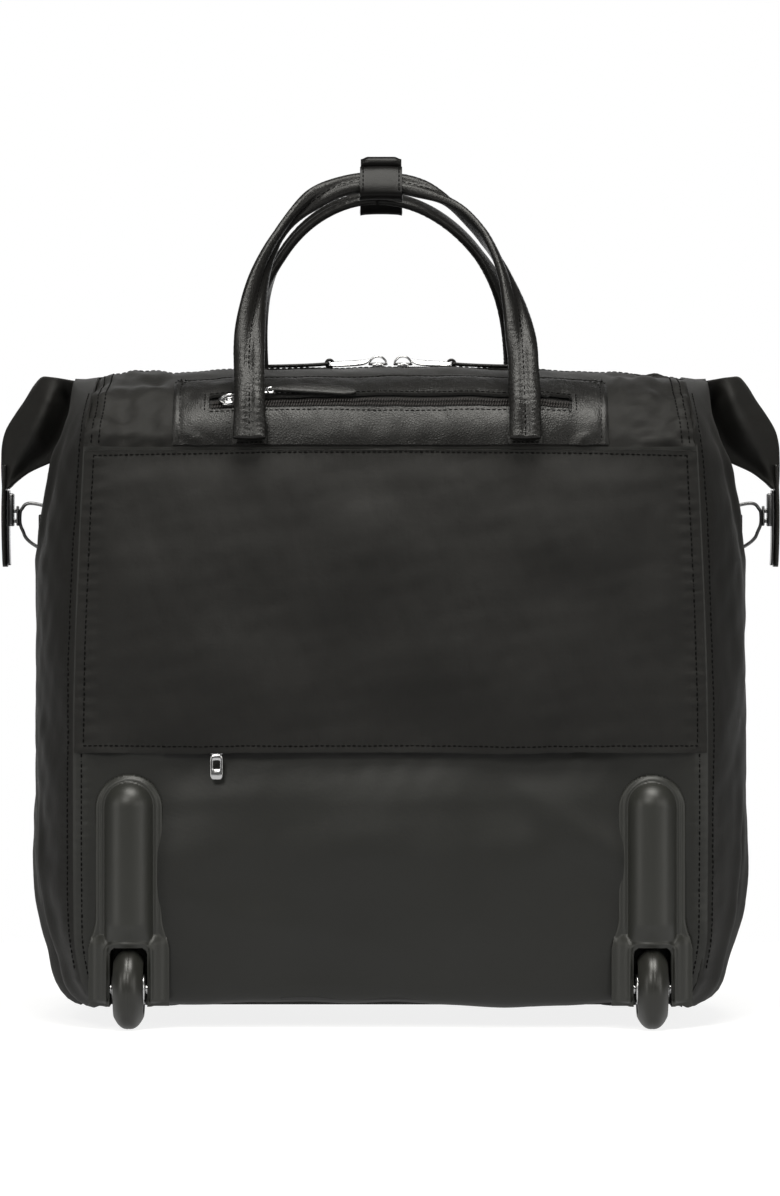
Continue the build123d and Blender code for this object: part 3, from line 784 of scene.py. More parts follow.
def pocket_panel(side, label):
    """The big flat pocket between the side seams, with its hems."""
    rows = np.linspace(POCKET_LOW, POCKET_TOP, 84)
    cols = np.linspace(-1, 1, 150)
    half = seam_half(rows) - 1.2
    x = cols[None, :] * half[:, None]
    v = np.repeat(rows[:, None], len(cols), 1)
    from_low, from_top = v - POCKET_LOW, POCKET_TOP - v
    v = v - 2.6 * (x / 190) ** 2 * from_low / (POCKET_TOP - POCKET_LOW)
    base, n = on_wall(side, x, v)
    inset = half[:, None] - np.abs(x)
    puff = 3.6 * smooth(0, 26, inset) * (0.3 + 0.7 * smooth(0, 22, from_top)) + 0.8
    sag = 3.6 * np.sin(np.clip(from_low / 189, 0, 1) ** 0.8 * np.pi) * smooth(0, 70, inset)
    flat = np.stack([x, np.zeros_like(x), v], -1).reshape(-1, 3)
    soft = waves(flat, 120, 51 + side, 2).reshape(x.shape)
    soft *= 3.2 * smooth(4, 45, inset) * smooth(0, 40, from_top)
    fine = waves(flat, 40, 53 + side, 3).reshape(x.shape) * 0.6
    hem = 0.55 * smooth(6.8, 5.6, np.minimum(from_low, from_top + 1.5))
    ripple = np.sin(x / 7.4 * 2 * np.pi + 1.4 * np.sin(x / 19))
    pucker = 0.42 * ripple * (bump_line(from_low - 6.5, 4) + bump_line(from_top - 6, 4))
    pucker += 0.55 * np.sin(v / 8.3 * 2 * np.pi + 1.2 * np.sin(v / 21)) * bump_line(inset - 7.5, 5)
    for off in (from_low - LOW_HEM, from_top - TOP_HEM, inset - SIDE_HEM):
        pucker -= 0.65 * bump_line(off, 1.3)
    low_edge = 0.32 * smooth(12, 0, from_low)
    p = base + n * (puff + sag + soft + fine + hem + pucker - low_edge)[..., None]
    sheet(f"{label}_pocket_cloth", p, NYLON, 1.5, "nylon", f"{label}_pocket")
    return p, n, rows, cols


def along_pocket(data, row_at, col_at):
    """Points on a pocket's face at given heights and shares across."""
    p, n, rows, cols = data
    r = np.interp(row_at, rows, np.arange(len(rows)))
    c = np.interp(col_at, cols, np.arange(len(cols)))
    return read_grid(p, c, r), read_grid(n, c, r)


for side, label in REAR_FRONT:
    data = pocket_panel(side, label)
    for k, height in enumerate((POCKET_LOW + LOW_HEM, POCKET_TOP - TOP_HEM)):
        share = np.linspace(-0.975, 0.975, 300)
        line, out = along_pocket(data, np.full(share.shape, height), share)
        stitch_row(f"{label}_pocket_hem_stitches_{k}", line, out, "case", **SEAM_STITCH)
    for edge in (-1, 1):
        height = np.linspace(POCKET_LOW + 6, POCKET_TOP - 2, 120)
        share = edge * (1 - SIDE_HEM / (seam_half(height) - 1.2))
        line, out = along_pocket(data, height, share)
        stitch_row(f"{label}_pocket_side_stitches_{mark(edge)}", line, out, "case", **SEAM_STITCH)

# ---- seam stitches on the shell
SEAM_ROWS = (((30.0, 171.0), (5.4,)), ((ROOF + 0.02, ROOF + 0.93), (4.8, 9.5)))
for side, label in REAR_FRONT:
    for edge in (-1, 1):
        for k, (span, offsets) in enumerate(SEAM_ROWS):
            v = np.linspace(*span, 160)
            for row, off in enumerate(offsets):
                line, out = on_wall(side, edge * (seam_half(flat_height(v)) - off), v)
                name = f"{label}_seam_stitches_{mark(edge)}_{k}_{row}"
                stitch_row(name, line, out, "case", **SEAM_STITCH)
for side in (-1, 1):
    for edge in (-1, 1):
        span = slice(8, int(np.searchsorted(ALL_ROWS, ROOF + 0.55)))
        column = 2 if edge < 0 else -3
        name = f"end_seam_stitches_{mark(side)}_{mark(edge, ('rear', 'front'))}"
        stitch_row(name, ends[side][span, column], END_NORMALS[side][span, column], "case", **SEAM_STITCH)


# ---- leather top panel and trolley slot
LEATHER_TOP = -54.0
LEATHER_THICK = 1.7


def leather_lift(x, ys):
    """How far the leather stands off the roof cloth at x and y."""
    edge = np.minimum(LEATHER_HALF - np.abs(x), (LEATHER_TOP - ys) * 1.15)
    flat = np.stack([x, ys, np.zeros_like(x)], -1).reshape(-1, 3)
    lift = 1.9 - 0.9 * smooth(2.2, 0, edge) - 0.5 * bump_line(edge - 4.2, 1.4)
    return lift + 0.4 * waves(flat, 46, 61, 3).reshape(x.shape) * smooth(0, 12, edge)


def leather_panel():
    """The leather on the rear half of the roof, with rounded upper corners and the slot left out."""
    lines = np.r_[np.linspace(-99.96, OPEN_LOW, 12), np.linspace(OPEN_LOW, OPEN_HIGH, 24)[1:],
                  np.linspace(OPEN_HIGH, LEATHER_TOP, 26)[1:]]
    xs = np.r_[np.linspace(-LEATHER_HALF, -SLOT_HALF, 20), np.linspace(-SLOT_HALF, SLOT_HALF, 160)[1:-1],
               np.linspace(SLOT_HALF, LEATHER_HALF, 20)]
    x, ys = np.meshgrid(xs, lines)
    corner = 15.0
    dx = np.clip(np.abs(x) - (LEATHER_HALF - corner), 0, None)
    dy = np.clip(ys - (LEATHER_TOP - corner * 0.8), 0, None) / 0.8
    over = np.hypot(dx, dy)
    shrink = np.where((dx > 0) & (dy > 0) & (over > corner), corner / np.maximum(over, 1e-6), 1)
    x = np.where(shrink < 1, np.sign(x) * (LEATHER_HALF - corner + dx * shrink), x)
    ys = np.where(shrink < 1, (LEATHER_TOP - corner * 0.8) + dy * shrink * 0.8, ys)
    base, n = on_wall(-1, x, roof_t(ys))
    p = base + n * leather_lift(x, ys)[..., None]
    hole = drop_cells(np.stack([x, ys], -1), in_opening)
    sheet("rear_leather", p, LEATHER, LEATHER_THICK, "leather", "rear_top_leather", skip=hole)


leather_panel()


def leather_line(x, y):
    """Points on the leather at x and y, and their normals."""
    base, n = on_wall(-1, x, roof_t(y))
    return base + n * leather_lift(x, y)[..., None], n


def edge_route():
    """The stitched line just inside the leather's edge."""
    inset, corner, top_y = 4.2, 12.0, LEATHER_TOP - 3.4
    half = LEATHER_HALF - inset
    up = np.linspace(-99.5, top_y - corner * 0.8, 40)
    arc = np.linspace(0, np.pi / 2, 14)
    across = np.linspace(half - corner, -half + corner, 150)
    x = np.r_[np.full(40, half), half - corner + corner * np.cos(arc), across,
              -(half - corner + corner * np.cos(arc[::-1])), np.full(40, -half)]
    y = np.r_[up, top_y - corner * 0.8 + corner * 0.8 * np.sin(arc), np.full(150, top_y),
              top_y - corner * 0.8 + corner * 0.8 * np.sin(arc[::-1]), up[::-1]]
    return leather_line(x, y)


route, out = edge_route()
stitch_row("leather_edge_stitches", route, out, "case", pitch=3.7, length=2.7, width=0.85, lift=-0.1)


# the lips: leather and tape that close the slot
WINDOW_FROM, WINDOW_TO = 97.5, 112.0


def window(x):
    """1 over the two small openings at the slot's ends."""
    far = np.abs(x)
    return smooth(WINDOW_FROM, WINDOW_FROM + 1.5, far) * smooth(WINDOW_TO, WINDOW_TO - 1.0, far)


def wave_along(x):
    """The lips' slow wave along the slot, still in the windows."""
    return np.sin(x / 31.0 + 0.7) * (1 - window(x))


UPPER_ANCHOR, LOWER_ANCHOR = -71.0, -97.0


def squash_to(obj, anchor):
    """Gives a piece its own copy of its mesh."""
    tuple(to_row(anchor)[0])
    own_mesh(obj)


def slope_squash(obj, anchor_y):
    squash_to(obj, on_wall(-1, 0.0, float(roof_t(anchor_y)))[0])


def lip(name, fixed_y, free_y, finish, slot, anchor_y, wave, retreat, node=None):
    """A strip from a fixed edge to a free one: leather in its panel's face, or tape below it."""
    drop, thickness = (0.0, LEATHER_THICK) if slot == "leather" else (2.2, 0.7)
    xs = np.linspace(-SLOT_HALF, SLOT_HALF, 260)
    points = []
    for free in np.r_[0, np.linspace(0.2, 0.9, 6), 0.96, 1]:
        wobble = wave * wave_along(xs) + retreat * window(xs)
        y = fixed_y + (free_y - fixed_y + wobble) * free
        p, n = on_wall(-1, xs, roof_t(y))
        lift = leather_lift(xs, y) - drop
        if drop:
            lift -= 0.6 * window(xs)
        else:
            lift += 0.35 * (bump_line(free - 0.86, 0.1) - 3 * max(0, free - 0.92) / 0.08)
        points.append(p + n * lift[:, None])
    slope_squash(sheet(name, np.array(points), finish, thickness, slot, node), anchor_y)


lip("slot_upper_lip", OPEN_HIGH, -81.0, LEATHER, "leather", UPPER_ANCHOR, 0.8, 0.6)
lip("slot_lower_lip", OPEN_LOW, -88.2, LEATHER, "leather", LOWER_ANCHOR, 0.25, -0.4)
lip("slot_lower_tape", -91.5, -84.6, TAPE, "zip", LOWER_ANCHOR, 0.0, -0.2, "trolley_zip_tapes")
lip("slot_upper_tape", -76.5, -84.2, TAPE, "zip", UPPER_ANCHOR, 0.0, 0.2)


def slot_coil(name, y, wobble, lift, start, anchor_y):
    """One row of the slot zip's coil."""
    xs = np.arange(start - SLOT_HALF, SLOT_HALF - 2, 1.65)
    p, n = on_wall(-1, xs, roof_t(y + wobble * wave_along(xs)))
    p = p + n * (lift - 0.8 * window(xs))[:, None]
    along = np.tile([0.25, 0.77, 0.64], (len(xs), 1))
    slope_squash(beads(name, p, along, n, 3.5, 1.05, 1.2, COIL, "case"), anchor_y)


slot_coil("slot_coil_lower", -86.5, 0.3, 1.2, 2, LOWER_ANCHOR)
slot_coil("slot_coil_upper", -83.8, 0.6, 0.9, 2.6, UPPER_ANCHOR)
xs = np.linspace(-SLOT_HALF, SLOT_HALF, 300)
for label, y, anchor in (("lower", -90.2, LOWER_ANCHOR), ("upper", -78.2, UPPER_ANCHOR)):
    line, out = leather_line(xs, np.full(300, y))
    row = stitch_row(f"slot_{label}_stitches", line, out, "case", pitch=3.4, length=2.5, width=0.8)
    slope_squash(row, anchor)
for end in (-1, 1):
    line, out = leather_line(np.full(20, end * (SLOT_HALF + 2.6)), np.linspace(-89.6, -77.6, 20))
    stitch_row(f"slot_end_stitches_{mark(end)}", line, out, "case", pitch=2.6, length=1.9, width=0.8)


# ---- carry handles
LEAN = math.radians(30.55)
OUTWARDS = {side: np.array([0, side * math.cos(LEAN), math.sin(LEAN)]) for side in (-1, 1)}
PIVOT = joint_mm("rear_handle_swing")
HANDLE_TOP = 193.0
BAND = 19.0
LEG_HALF = {-1: 85.5, 1: 86.0}  # half the distance between a handle's legs, rear and front


def handle_place(side, x, v, out=0.0):
    """A point of the leaning handle plane: v up the band, out along its outward normal."""
    y = side * (abs(PIVOT[1]) - v * math.sin(LEAN) + out * math.cos(LEAN))
    z = PIVOT[2] + v * math.cos(LEAN) + out * math.sin(LEAN)
    return np.stack(np.broadcast_arrays(x, y, z), -1)


def handle_path(half, power, top, legs, count=520):
    """The band's middle line in the leaning plane, evenly spaced: (x, v). The top leans to the left."""
    a = np.linspace(0, np.pi, 2000)
    c, s = np.cos(a), np.sin(a)
    x = half * np.sign(c) * np.abs(c) ** (2 / power)
    v = legs + (top - legs) * np.abs(s) ** (2 / power)
    x = np.r_[np.full(200, half), x, np.full(200, -half)]
    v = np.r_[np.linspace(2, legs, 200), v, np.linspace(legs, 2, 200)]
    steps = np.r_[0, np.cumsum(np.hypot(np.diff(x), np.diff(v)))]
    at = np.linspace(0, steps[-1], count)
    x, v = np.interp(at, steps, x), np.interp(at, steps, v)
    return x + handle_shift(v / top), v


def handle_shift(share):
    """How far the handles lean to one side, by the share of their height."""
    return -1.8 - 6.7 * np.clip(share, 0, 1) ** 1.6


def band_outline(width, thick, sides=44):
    """The band's section with a sewn groove down its outer face, as (across, outwards)."""
    outline = oval(width, thick, sides, 2.9)
    outer = outline[:, 1] > 0
    groove = 1.1 * bump_line(outline[:, 0], 1.3) * outer
    swell = 0.4 * bump_line(np.abs(outline[:, 0]) - width * 0.27, width * 0.14) * outer
    outline[:, 1] += swell - groove
    return outline


def handle(side, label, power, top, legs, width_leg, width_top, turn_from, sink):
    """One carry handle: a folded leather strap sewn down its middle."""
    x, v = handle_path(LEG_HALF[side], power, top, legs)
    base = np.clip((v - 2) / 26, 0, 1)
    path = handle_place(side, x, v, -(1 - smooth(0, 1, base)) * sink)
    _, across, upwards = frames_along(path, OUTWARDS[side])
    rise = np.clip((v - legs * 0.8) / (top - legs * 0.8), 0, 1)
    share = v / top
    middle = handle_shift(1)
    # the strap turns on edge from its shoulders up, but not under the rear wrap
    shoulder = np.clip((share - turn_from) / (0.78 - turn_from), 0, 1)
    if side < 0:
        shoulder = shoulder * smooth(20, 60, np.abs(x - middle))
    twist = 1.57 * shoulder * np.sign(x - middle)
    width = width_leg + (width_top - width_leg) * smooth(0.2, 0.9, rise)
    rings, lines, outs = [], [], []
    for i in range(len(x)):
        outline = band_outline(width[i], (7.2 - 1.7 * shoulder[i]) * (0.62 + 0.38 * base[i]))
        a, b = turned(outline, twist[i])
        rings.append(path[i] + a[:, None] * across[i] + b[:, None] * upwards[i])
        face = upwards[i] * math.cos(twist[i]) - across[i] * math.sin(twist[i])
        lines.append(path[i] + face * (2.9 - 0.85 * shoulder[i] - 1.37 * (1 - base[i])))
        outs.append(face)
    points = np.array(rings)
    # creases across the strap, strongest low on the legs
    u = np.linspace(0, 2 * np.pi, points.shape[1], endpoint=False)
    ll, uu = np.meshgrid(lengths_along(path), u, indexing="ij")
    lobe = np.tanh(np.cos(uu) * 4)
    drift = 2.2 * np.sin(ll / 9.7 + 2 * lobe) + 2.1 * lobe + 1.3 * np.abs(np.cos(uu))
    crease = np.sin(ll / 4.3 * 2 * np.pi + drift).ravel()
    fold = np.stack([ll / 2.1, lobe * 0.8, np.sin(uu) * 0.3], -1).reshape(-1, 3)
    soft = np.stack([ll / 26, np.cos(uu), np.sin(uu)], -1).reshape(-1, 3)
    face_only = smooth(-0.2, 0.7, np.sin(uu)).ravel()
    depth = 0.16 * crease * face_only + 0.5 * waves(fold, 1.5, 71 + side, 3) * (0.2 + 0.8 * face_only)
    depth += 0.5 * waves(soft, 1.6, 73 + side, 2)
    away = points - points.mean(1, keepdims=True)
    away /= np.linalg.norm(away, axis=2, keepdims=True)
    strength = 0.3 + 0.7 * smooth(0.55, 0.08, share)[:, None]
    points = points + away * (depth.reshape(ll.shape) * strength)[..., None]
    start, end = [tuple(to_row(handle_place(side, 0.0, v))[0]) for v in (-2.0, 13.0)]
    obj = tube(f"{label}_handle_band", points, LEATHER)
    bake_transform(obj)
    settle(obj, None, f"{label}_handle")
    lines, outs = np.array(lines), np.array(outs)
    keep = np.abs(lines[:, 0] - middle) > 14.5
    for way in (1, -1):
        mask = keep & ((x - middle) * way > 0)
        row = stitch_row(f"{label}_handle_stitches_{mark(way)}", lines[mask], outs[mask], None,
                         pitch=3.9, length=2.9, width=1.0, lift=-0.35)
        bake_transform(row)


handle(-1, "rear", 2.25, HANDLE_TOP, 50.0, 19.6, 14.0, 0.32, 3.4)
handle(1, "front", 2.0, HANDLE_TOP - 9.0, 60.0, 18.5, 13.0, 0.18, 3.0)


def handle_foot(side, label, x0, node=None):
    """The flat sewn-down end of a handle leg, just above the pocket."""
    half = 10.6
    xs = np.linspace(x0 - half, x0 + half, 24)
    points = []
    for t in np.linspace(0.02, 0.085, 12):
        p, n = on_wall(side, xs, ROOF + t)
        rim = np.minimum(half - np.abs(xs - x0), 6)
        points.append(p + n * (2.9 + 0.5 * smooth(0, 2.5, rim) - 0.6 * bump_line(xs - x0, 1.4))[:, None])
    sheet(f"{label}_handle_foot_{mark(x0)}", np.array(points), LEATHER, 2.4, "leather", node)
    for k, t in enumerate((0.035, 0.07)):
        p, n = on_wall(side, np.linspace(x0 - 8.6, x0 + 8.6, 30), ROOF + t)
        stitch_row(f"{label}_foot_stitches_{mark(x0)}_{k}", p + n * 3.4, n, "case",
                   pitch=2.9, length=2.1, width=0.9)


for side, label in REAR_FRONT:
    for way in (-1, 1):
        x0 = way * LEG_HALF[side] - 1.8
        handle_foot(side, label, x0, "handle_patches" if side < 0 < way else None)


WRAP_HALF, WRAP_THICK, WRAP_STITCH = 13.4, 11.0, 11.4
WRAP_MIDDLE = handle_shift(1) + 2.5


def wrap(side, label, top):
    """The leather sleeve round the top of a handle, a curved band open at its ends."""
    xs = np.linspace(-WRAP_HALF, WRAP_HALF, 29)
    height = BAND + 4.4
    outline = oval(height, WRAP_THICK, 44, 3.0)
    points = []
    for x in xs:
        bow = -0.0035 * x * x
        flare = 0.25 * bump_line(np.abs(x) - WRAP_HALF, 1.5)
        v = top + bow + outline[:, 0] * (1 + flare / 10)
        points.append(handle_place(side, x + WRAP_MIDDLE, v, outline[:, 1] * (1 + flare / 8)))
    obj = grid(f"{label}_wrap_sleeve", np.array(points), SMOOTH_LEATHER, None, close_columns=True)
    thicken(obj, 1.5, -1.0, handle_place(side, WRAP_MIDDLE, top))
    settle(obj, f"{label}_handle", f"{label}_handle_wrap")
    for edge in (-WRAP_STITCH, WRAP_STITCH):
        vs = np.linspace(top - height * 0.42, top + height * 0.42, 30)
        line = handle_place(side, edge + WRAP_MIDDLE, vs, WRAP_THICK / 2 + 0.05)
        stitch_row(f"{label}_wrap_stitches_{mark(edge)}", line, OUTWARDS[side], f"{label}_handle",
                   pitch=3.2, length=2.4, width=0.8)


wrap(-1, "rear", HANDLE_TOP - 0.5)
wrap(1, "front", HANDLE_TOP - 8.0)


def flap():
    """The loose end of the rear sleeve, curled back over its upper edge."""
    top = HANDLE_TOP + BAND / 2 + 3.2
    a = np.linspace(0, 2 * np.pi, 26, endpoint=False)
    points = []
    for x in np.linspace(-13.0, 13.0, 24):
        shrink = 1 - 0.25 * smooth(8.5, 13.0, abs(x))
        v = top + shrink * (2.2 + 4.4 * np.sin(a))
        points.append(handle_place(-1, x + WRAP_MIDDLE, v, -0.5 + 4.8 * shrink * np.cos(a)))
    settle(tube("rear_wrap_flap", np.array(points), SMOOTH_LEATHER), "rear_handle")


flap()

# ---- side wings
WING_OUT = [(218, 408.5), (223.5, 408.6), (229, 402.5), (234.5, 393.5), (241, 384), (246.5, 374.5),
            (248.9, 365), (249.4, 355), (249.3, 345), (248.8, 336.8)]
WING_IN = [(199, 405.2), (195, 397), (195, 385), (199, 371), (207, 359), (218, 353.5), (231, 347.5),
           (240, 341), (243, 338), (244.6, 336.8)]


def resample(path, count):
    """A path of evenly spaced points, read again at another count."""
    old, new = np.linspace(0, 1, len(path)), np.linspace(0, 1, count)
    return np.stack([np.interp(new, old, path[:, k]) for k in range(3)], 1)


def wing(side, label):
    """The end of the roof, pinched into a fin and folded down over the side."""
    count = 78
    outer, inner = [resample(even(smooth_path([(x, 0, z) for x, z in line], 10), 1.6), count)
                    for line in (WING_OUT, WING_IN)]
    shares = np.linspace(0, 1, 22)
    rings = []
    for i in range(count):
        down = i / (count - 1)
        ridge_half = 12.0 + 4.5 * smooth(0.05, 0.25, down) - 10.5 * smooth(0.35, 0.95, down)
        root = ridge_half - (ridge_half - 2.0) * smooth(0.02, 0.18, down) * smooth(1.0, 0.8, down)
        edge = 3.0 + 2.4 * (1 - smooth(0, 0.35, down))
        crest = 0.66 - 0.16 * down
        ring = []
        for way in (-1, 1):
            for share in (shares if way < 0 else shares[::-1]):
                p = inner[i] + (outer[i] - inner[i]) * share
                half = root + (ridge_half - root) * float(smooth(crest - 0.34, crest, share))
                half += (edge - ridge_half) * float(smooth(crest, 1.02, share))
                fold = 1.1 * math.sin(share * 7 + down * 3.1) * (1 - share) * smooth(0, 0.2, down)
                round_off = math.sqrt(1 - max(0.0, (share - 0.86) / 0.14) ** 2)
                ring.append((p[0], way * (half * round_off) + fold * 0.8, p[2]))
        rings.append(ring)
    points = np.array(rings)
    push = waves(points.reshape(-1, 3) * [1, 0.6, 1], 26, 81 + side, 3)
    points[..., 1] += 0.7 * push.reshape(points.shape[:2])
    points[..., 0] *= side
    obj = tube(f"{label}_wing_fold", points, NYLON)
    pivot = joint_mm(f"{label}_wing_fold")
    start = to_row([pivot[0] - side * 9, 0, pivot[2] + 9])[0]
    end = to_row([pivot[0] + side * 7, 0, pivot[2] - 7])[0]
    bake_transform(obj)
    settle(obj, None, f"{label}_wing")


def side_path(side, corners, per_span, closed=False):
    """A rounded path in the middle plane, from (x, z) corners of the right side."""
    return smooth_path([(side * x, 0, z) for x, z in corners], per_span, closed)


def side_block(name, side, x0, x1, half_y, z0, z1, radius, finish, body):
    """A rounded block across the middle plane, given on the right side."""
    a, b = sorted((side * x0, side * x1))
    return rounded_box(name, (a, -half_y, z0), (b, half_y, z1), radius, finish, body)


TAB_LINE = ((246.6, 352), (247.0, 338), (247.4, 322), (247.2, 304), (246.6, 287))
PLATE_LINE = ((244.6, 336), (244.7, 324), (244.7, 306), (244.2, 288))
CLIP_BLOCKS = (("block", 241.0, 244.4, 5.5, 313.0, 334.0, 1.1),
               ("nose_0", 238.9, 241.6, 4.0, 315.1, 317.7, 0.9),
               ("nose_1", 238.9, 241.6, 4.0, 321.5, 324.1, 0.9),
               ("jaw", 237.9, 239.4, 4.0, 313.2, 326.0, 0.7))
RING_LINE = [(219.6, 301.0), (219.6, 324.0), (222.5, 326.2), (229.5, 327.6), (233.6, 327.0), (236.0, 324.2),
             (237.2, 321.6), (237.2, 314.6), (235.2, 309.4), (233.6, 305.8), (230.2, 302.4), (225.0, 299.2),
             (221.4, 298.4)]


def wing_tab(side, label):
    """The leather strap sewn into the wing's corner, with its metal plate and snap."""
    body = f"{label}_wing"
    outline, plate_outline = oval(18.0, 3.0, 24, 5.0), oval(13.0, 1.9, 20, 5.0)

    def strap_section(i, n):
        left = min(1.0, (n - 1 - i) / 6)
        return outline * [min(1.0, 0.62 + 0.55 * math.sqrt(left)), 1]

    strap = sweep(f"{label}_tab_strap", side_path(side, TAB_LINE, 10), (1, 0, 0),
                  strap_section, LEATHER, body)
    settle(strap, None, f"{label}_wing_tab")
    plate = sweep(f"{label}_clip_plate", side_path(side, PLATE_LINE, 8), (1, 0, 0),
                  lambda i, n: plate_outline, DARK_METAL, body)
    settle(plate, None, f"{label}_clip")
    for name, *sizes in CLIP_BLOCKS:
        side_block(f"{label}_clip_{name}", side, *sizes, DARK_METAL, body)


def wire_ring(side, label):
    """The bent wire ring that the tab hooks to, swivelling on its upright bar."""
    path = side_path(side, RING_LINE, 7, closed=True)
    obj = wire(f"{label}_ring_wire", path, 1.1, DARK_METAL, f"{label}_ring", closed=True)
    settle(obj, None, f"{label}_ring")
    keeper = side_block(f"{label}_ring_loop", side, 217.5, 225.2, 4.5, 305.5, 320.5, 1.0, LEATHER, "case")
    settle(keeper, None, "ring_keepers" if side > 0 else None)


for side, label in RIGHT_LEFT:
    wing(side, label)
    wing_tab(side, label)
    wire_ring(side, label)


# ---- wheel housings and wheels
SPINE_R, STEP_R, SPINE_TOP = 15.2, 17.6, 137.8
CUT_HALF, CUT_TOP, CUT_ROUND = 11.7, 51.0, 5.0
FLANGE_TOP, FLANGE_R = 136.5, 21.0  # where the flange's round top begins, and its radius


def flange_half(z):
    """Half the flange's width at height z: wider round the wheel."""
    return np.where(z < 48, 25.0, np.where(z < 69, 25 - 4 * smooth(48, 69, z), 21.0))


def outside_housing(m):
    """Cells past the flange's edge or in the wheel's cut-out, from their x, edge distance and z."""
    x, edge, z = np.abs(m[..., 0]), m[..., 1], m[..., 2]
    up = np.clip(z - (CUT_TOP - CUT_ROUND), 0, CUT_ROUND) / CUT_ROUND
    return (edge <= 0.05) | (x < CUT_HALF - CUT_ROUND * (1 - np.sqrt(1 - up ** 2))) & (z < CUT_TOP)


def wheel_housing(side, label):
    """The moulded housing: a flange, a raised step and a domed half-round spine over the wheel."""
    x = np.linspace(-25, 25, 121)
    z = np.concatenate([np.linspace(14.3, 60, 70), np.linspace(60.8, 160, 120)])
    gx, gz = np.meshgrid(x, z)
    half = flange_half(gz)
    over = np.hypot(gx, np.clip(gz - FLANGE_TOP, 0, None))
    edge = np.where(gz > FLANGE_TOP, FLANGE_R - over, half - np.abs(gx))
    edge = np.minimum(edge, (gz - 14.0) * 1.4)
    flange = 2.0 + 2.0 * np.sqrt(1 - (1 - np.clip(edge, 0, 2.4) / 2.4) ** 2)
    rad = np.hypot(gx, np.clip(gz - SPINE_TOP, 0, None))
    step = 1.1 * smooth(STEP_R + 0.8, STEP_R - 0.8, rad) * smooth(54, 60, gz)
    spine = 3.0 + np.sqrt(np.clip(SPINE_R ** 2 - rad ** 2, 0, None))
    face = np.maximum(flange + step, np.where(rad < SPINE_R, spine, 0))
    lower = smooth(66, 52, gz)
    beyond = np.hypot(np.clip(np.abs(gx) - CUT_HALF + 3, 0, None), np.clip(gz - CUT_TOP + 3, 0, None))
    lip_height = 1.3 * bump_line(beyond - 5.2, 1.2)
    cheek = 4.0 + 5.2 * smooth(23, 14, np.abs(gx))
    blended = np.maximum(face * (1 - 0.25 * lower), cheek * lower * smooth(14, 18, gz))
    height = blended + lip_height * lower
    points = np.stack([side * WHEEL[0] + gx, -HALF_DEPTH - height, gz], -1)
    bad = drop_cells(np.stack([gx, edge, gz], -1), outside_housing)
    obj = grid(f"{label}_housing_shell", points, HOUSING, None, skip=bad)
    bm = bmesh.new()
    bm.from_mesh(obj.data)
    bmesh.ops.delete(bm, geom=[v for v in bm.verts if not v.link_faces], context="VERTS")
    rim = [e for e in bm.edges if e.is_boundary]
    made = bmesh.ops.extrude_edge_only(bm, edges=rim)
    back = [v for v in made["geom"] if isinstance(v, bmesh.types.BMVert)]
    for v in back:
        x_mm = v.co.x * 1000 - side * WHEEL[0]
        z_mm = v.co.z * 1000
        inner = abs(x_mm) < CUT_HALF + 0.6 and z_mm < CUT_TOP + 0.6
        v.co.y = ((-76.0 if inner else 1.0 - HALF_DEPTH) + MID_Y) / 1000
    write_back(bm, obj.data)
    settle(obj, "case", f"{label}_wheel_housing")
    well_low = (side * WHEEL[0] - 15.0, -97.5, 14.2)
    well_high = (side * WHEEL[0] + 15.0, -74.2, 56.0)
    well_box(f"{label}_housing_well", well_low, well_high)


def well_box(name, low, high):
    """The cup behind the wheel: a box open below and to the rear."""
    wall = 1.6
    pieces = [
        (low, (low[0] + wall, high[1], high[2])),
        ((high[0] - wall, low[1], low[2]), high),
        ((low[0] + wall, high[1] - wall, low[2]), (high[0] - wall, high[1], high[2])),
        ((low[0] + wall, low[1], high[2] - wall), (high[0] - wall, high[1] - wall, high[2])),
    ]
    for k, (a, b) in enumerate(pieces):
        settle(rounded_box(f"{name}_{k}", a, b, 0.5, HOUSING, "case", 2), None)


def tyre_profile():
    """Half-round tread with a fine parting line, closed round the inside, as (x, radius)."""
    half = (WHEEL_HIGH[0] - WHEEL_LOW[0]) / 2
    s = np.linspace(-1, 1, 41)
    radius = WHEEL_R - 7.5 * np.abs(s) ** 2.6 - 0.18 * bump_line(s, 0.035)
    tread = list(zip(half * 0.93 * s, radius))
    inside = [(half * 0.93, 16.4), (half * 0.80, 15.6), (-half * 0.80, 15.6), (-half * 0.93, 16.4)]
    return tread + inside


HUB_PROFILE = [(-8.6, 4.2), (-8.6, 15.6), (-6.2, 15.9), (6.2, 15.9), (8.6, 15.6), (8.6, 4.2)]
CAP_PROFILE = [(8.7, 0.4), (8.7, 9.6), (9.4, 9.8), (10.2, 9.0), (10.6, 7.4), (10.2, 6.2), (9.9, 4.4),
               (10.4, 2.4), (10.5, 0.4)]

for side, label in RIGHT_LEFT:
    wheel_housing(side, label)
    centre = np.array([side * WHEEL[0], WHEEL[1], WHEEL_R])
    tyre = lathe_x(f"{label}_tyre_tread", tyre_profile(), centre, TYRE, 96)
    settle(tyre, f"{label}_wheel", f"{label}_tyre")
    hub = lathe_x(f"{label}_hub_disc", HUB_PROFILE, centre, HUB, 72)
    settle(hub, f"{label}_wheel", f"{label}_hub")
    for way in (-1, 1):
        profile = [(way * x, r) for x, r in CAP_PROFILE]
        cap = lathe_x(f"{label}_hub_cap_{mark(way)}", profile, centre, SILVER, 64)
        settle(cap, f"{label}_wheel")

# ---- main zip along the ridge
ZIP_REACH = 186.0


def zip_height(x):
    """Height of the main zip's chain, which waves a little along the ridge."""
    return ridge(x) + 0.35 * np.sin(x / 17.0) + 0.3 * np.sin(x / 43.0 + 1)


